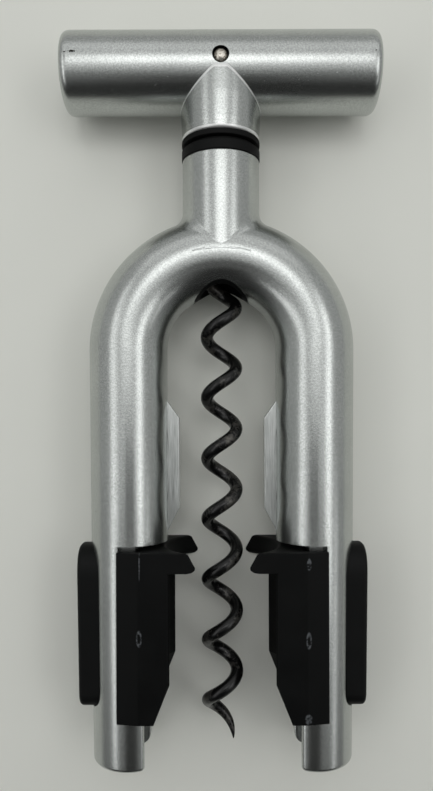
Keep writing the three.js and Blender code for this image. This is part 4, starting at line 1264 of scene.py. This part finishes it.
# %% Softboxes
def softbox(name, tilt, towards, distance, size, brightness):
    """An area light at a tilt from straight up, towards a compass direction in degrees from +X,
    aimed back at the object. Its power is its brightness times pi times its area."""
    light = bpy.data.lights.new(name, "AREA")
    light.shape, light.size, light.size_y = "RECTANGLE", size[0], size[1]
    light.energy = brightness * math.pi * size[0] * size[1]
    made = bpy.data.objects.new(name, light)
    tilt, turn = math.radians(tilt), math.radians(towards)
    made.location = (
        distance * math.sin(tilt) * math.cos(turn),
        distance * math.sin(tilt) * math.sin(turn),
        distance * math.cos(tilt),
    )
    made.rotation_euler = (0, tilt, turn)
    made.visible_camera = False
    bpy.context.scene.collection.objects.link(made)
    print(f"{name}: {light.energy:.2f} W")


# %% [markdown]
# Whoever takes such a picture from close above is dark in the metal: two hands hold the camera,
# and the body stands in front of the legs' ends. Matt cards at the camera's height stand for them.
# They can't be seen themselves, and make the dark bands down the legs and along the bar.

# %% Dark cards
# For each card: its middle, its half width and its half length.
CARD_HEIGHT = 160
CARDS = {
    "left_hand": (-20, -50, 15, 26),
    "right_hand": (18, -50, 15, 26),
    "body": (-1, -165, 55, 57),
}


def matte_black():
    """Matt black card, its fibres just lighter than black."""
    made, tree, shader, where = material("matte_black_card")
    fibre = node(tree, "TexNoise", Vector=where, Scale=1000 / 2)
    ink, lint = linear("#101010"), linear("#181818")
    colour = node(tree, "Mix", 2, data_type="RGBA", in_0=fibre, in_6=ink, in_7=lint)
    fill(tree, shader, Base_Color=colour, Roughness=0.8)
    return made


black = matte_black()
for name, (x, y, half_wide, half_long) in CARDS.items():
    flat = SQUARE * (half_wide, half_long) + (x, y)
    card = sheet("card_" + name, metres([(*corner, CARD_HEIGHT) for corner in flat]), black)
    card.visible_camera = False
    print(f"{card.name}: {2 * half_wide} x {2 * half_long} mm, {CARD_HEIGHT} mm up")

# %% [markdown]
# For each softbox: tilt from straight up and direction in degrees, distance and size in metres,
# and brightness.

# %% Set up the lights
SOFTBOXES = {
    "softbox_overhead": (18, 90, 0.9, (0.22, 0.42), 1.15),
    "softbox_overhead_middle": (17, 90, 0.92, (0.42, 0.5), 0.66),
    "softbox_overhead_broad": (13, 90, 0.95, (0.85, 0.8), 0.3),
    "softbox_right": (33, 2, 0.9, (0.25, 0.56), 1.2),
    "softbox_right_outer": (40, 6, 0.91, (0.2, 0.8), 0.85),
    "softbox_left": (33, 178, 0.9, (0.2, 0.56), 0.75),
    "softbox_left_outer": (43, 179, 0.91, (0.18, 1.1), 1.05),
    "softbox_right_low": (60, -28, 0.9, (0.14, 0.5), 0.85),
    "softbox_left_low": (51, 213, 0.9, (0.14, 0.5), 0.65),
    "softbox_beyond_handle": (52, 90, 0.9, (0.4, 1.2), 0.45),
}
for name, setting in SOFTBOXES.items():
    softbox(name, *setting)

# %% [markdown]
# The room round the table is a soft grey with a trace of green, as the picture's light has. It
# gets darker towards the front, which the lower ends of the legs show. One Map Range node turns
# the direction's Y into the strength.

# %% Room
DARK_FRONT, GREY_ROOM = 0.03, 0.45
world = bpy.data.worlds.new("soft_room")
bpy.context.scene.world = world
world.use_nodes = True
room = world.node_tree
towards = node(room, "SeparateXYZ", 1, Vector=node(room, "TexCoord", "Generated"))
level = node(
    room,
    "MapRange",
    Value=towards,
    From_Min=-0.8,
    From_Max=0.0,
    To_Min=DARK_FRONT,
    To_Max=GREY_ROOM,
)
fill(room, room.nodes["Background"], Color=(0.985, 1, 0.985, 1), Strength=level)
print(f"the room's strength falls from {GREY_ROOM} to {DARK_FRONT} in front")

# %% [markdown]
# The picture was taken from 155 mm above the frame's middle plane, so near things look larger.
# The focal length is the picture's scale at that distance, on a 36 mm sensor over 791 pixels, and
# the small shift puts the point under the lens where the picture has it.

# %% Camera
# The picture's longer side and its middle, the focal length and the row under the lens, in pixels.
LONG_SIDE, MIDDLE_ROW, FOCAL, LENS_ROW = 791, 395.5, 664, 412.64
SENSOR, NEAREST, CAMERA_TURN = 36, 0.01, math.radians(-0.2)
CAMERA_PLACE = (-1.2, -14.55, 155)

lens = bpy.data.cameras.new("camera")
lens.lens, lens.sensor_width, lens.clip_start = FOCAL * SENSOR / LONG_SIDE, SENSOR, NEAREST
lens.shift_y = (LENS_ROW - MIDDLE_ROW) / LONG_SIDE
camera = bpy.data.objects.new("camera", lens)
camera.location = metres(CAMERA_PLACE)
camera.rotation_euler = (0, 0, CAMERA_TURN)
bpy.context.scene.collection.objects.link(camera)
bpy.context.scene.camera = camera
bpy.context.scene.view_settings.view_transform = "Standard"
print(f"focal length {lens.lens:.2f} mm, shift {lens.shift_y:.4f}")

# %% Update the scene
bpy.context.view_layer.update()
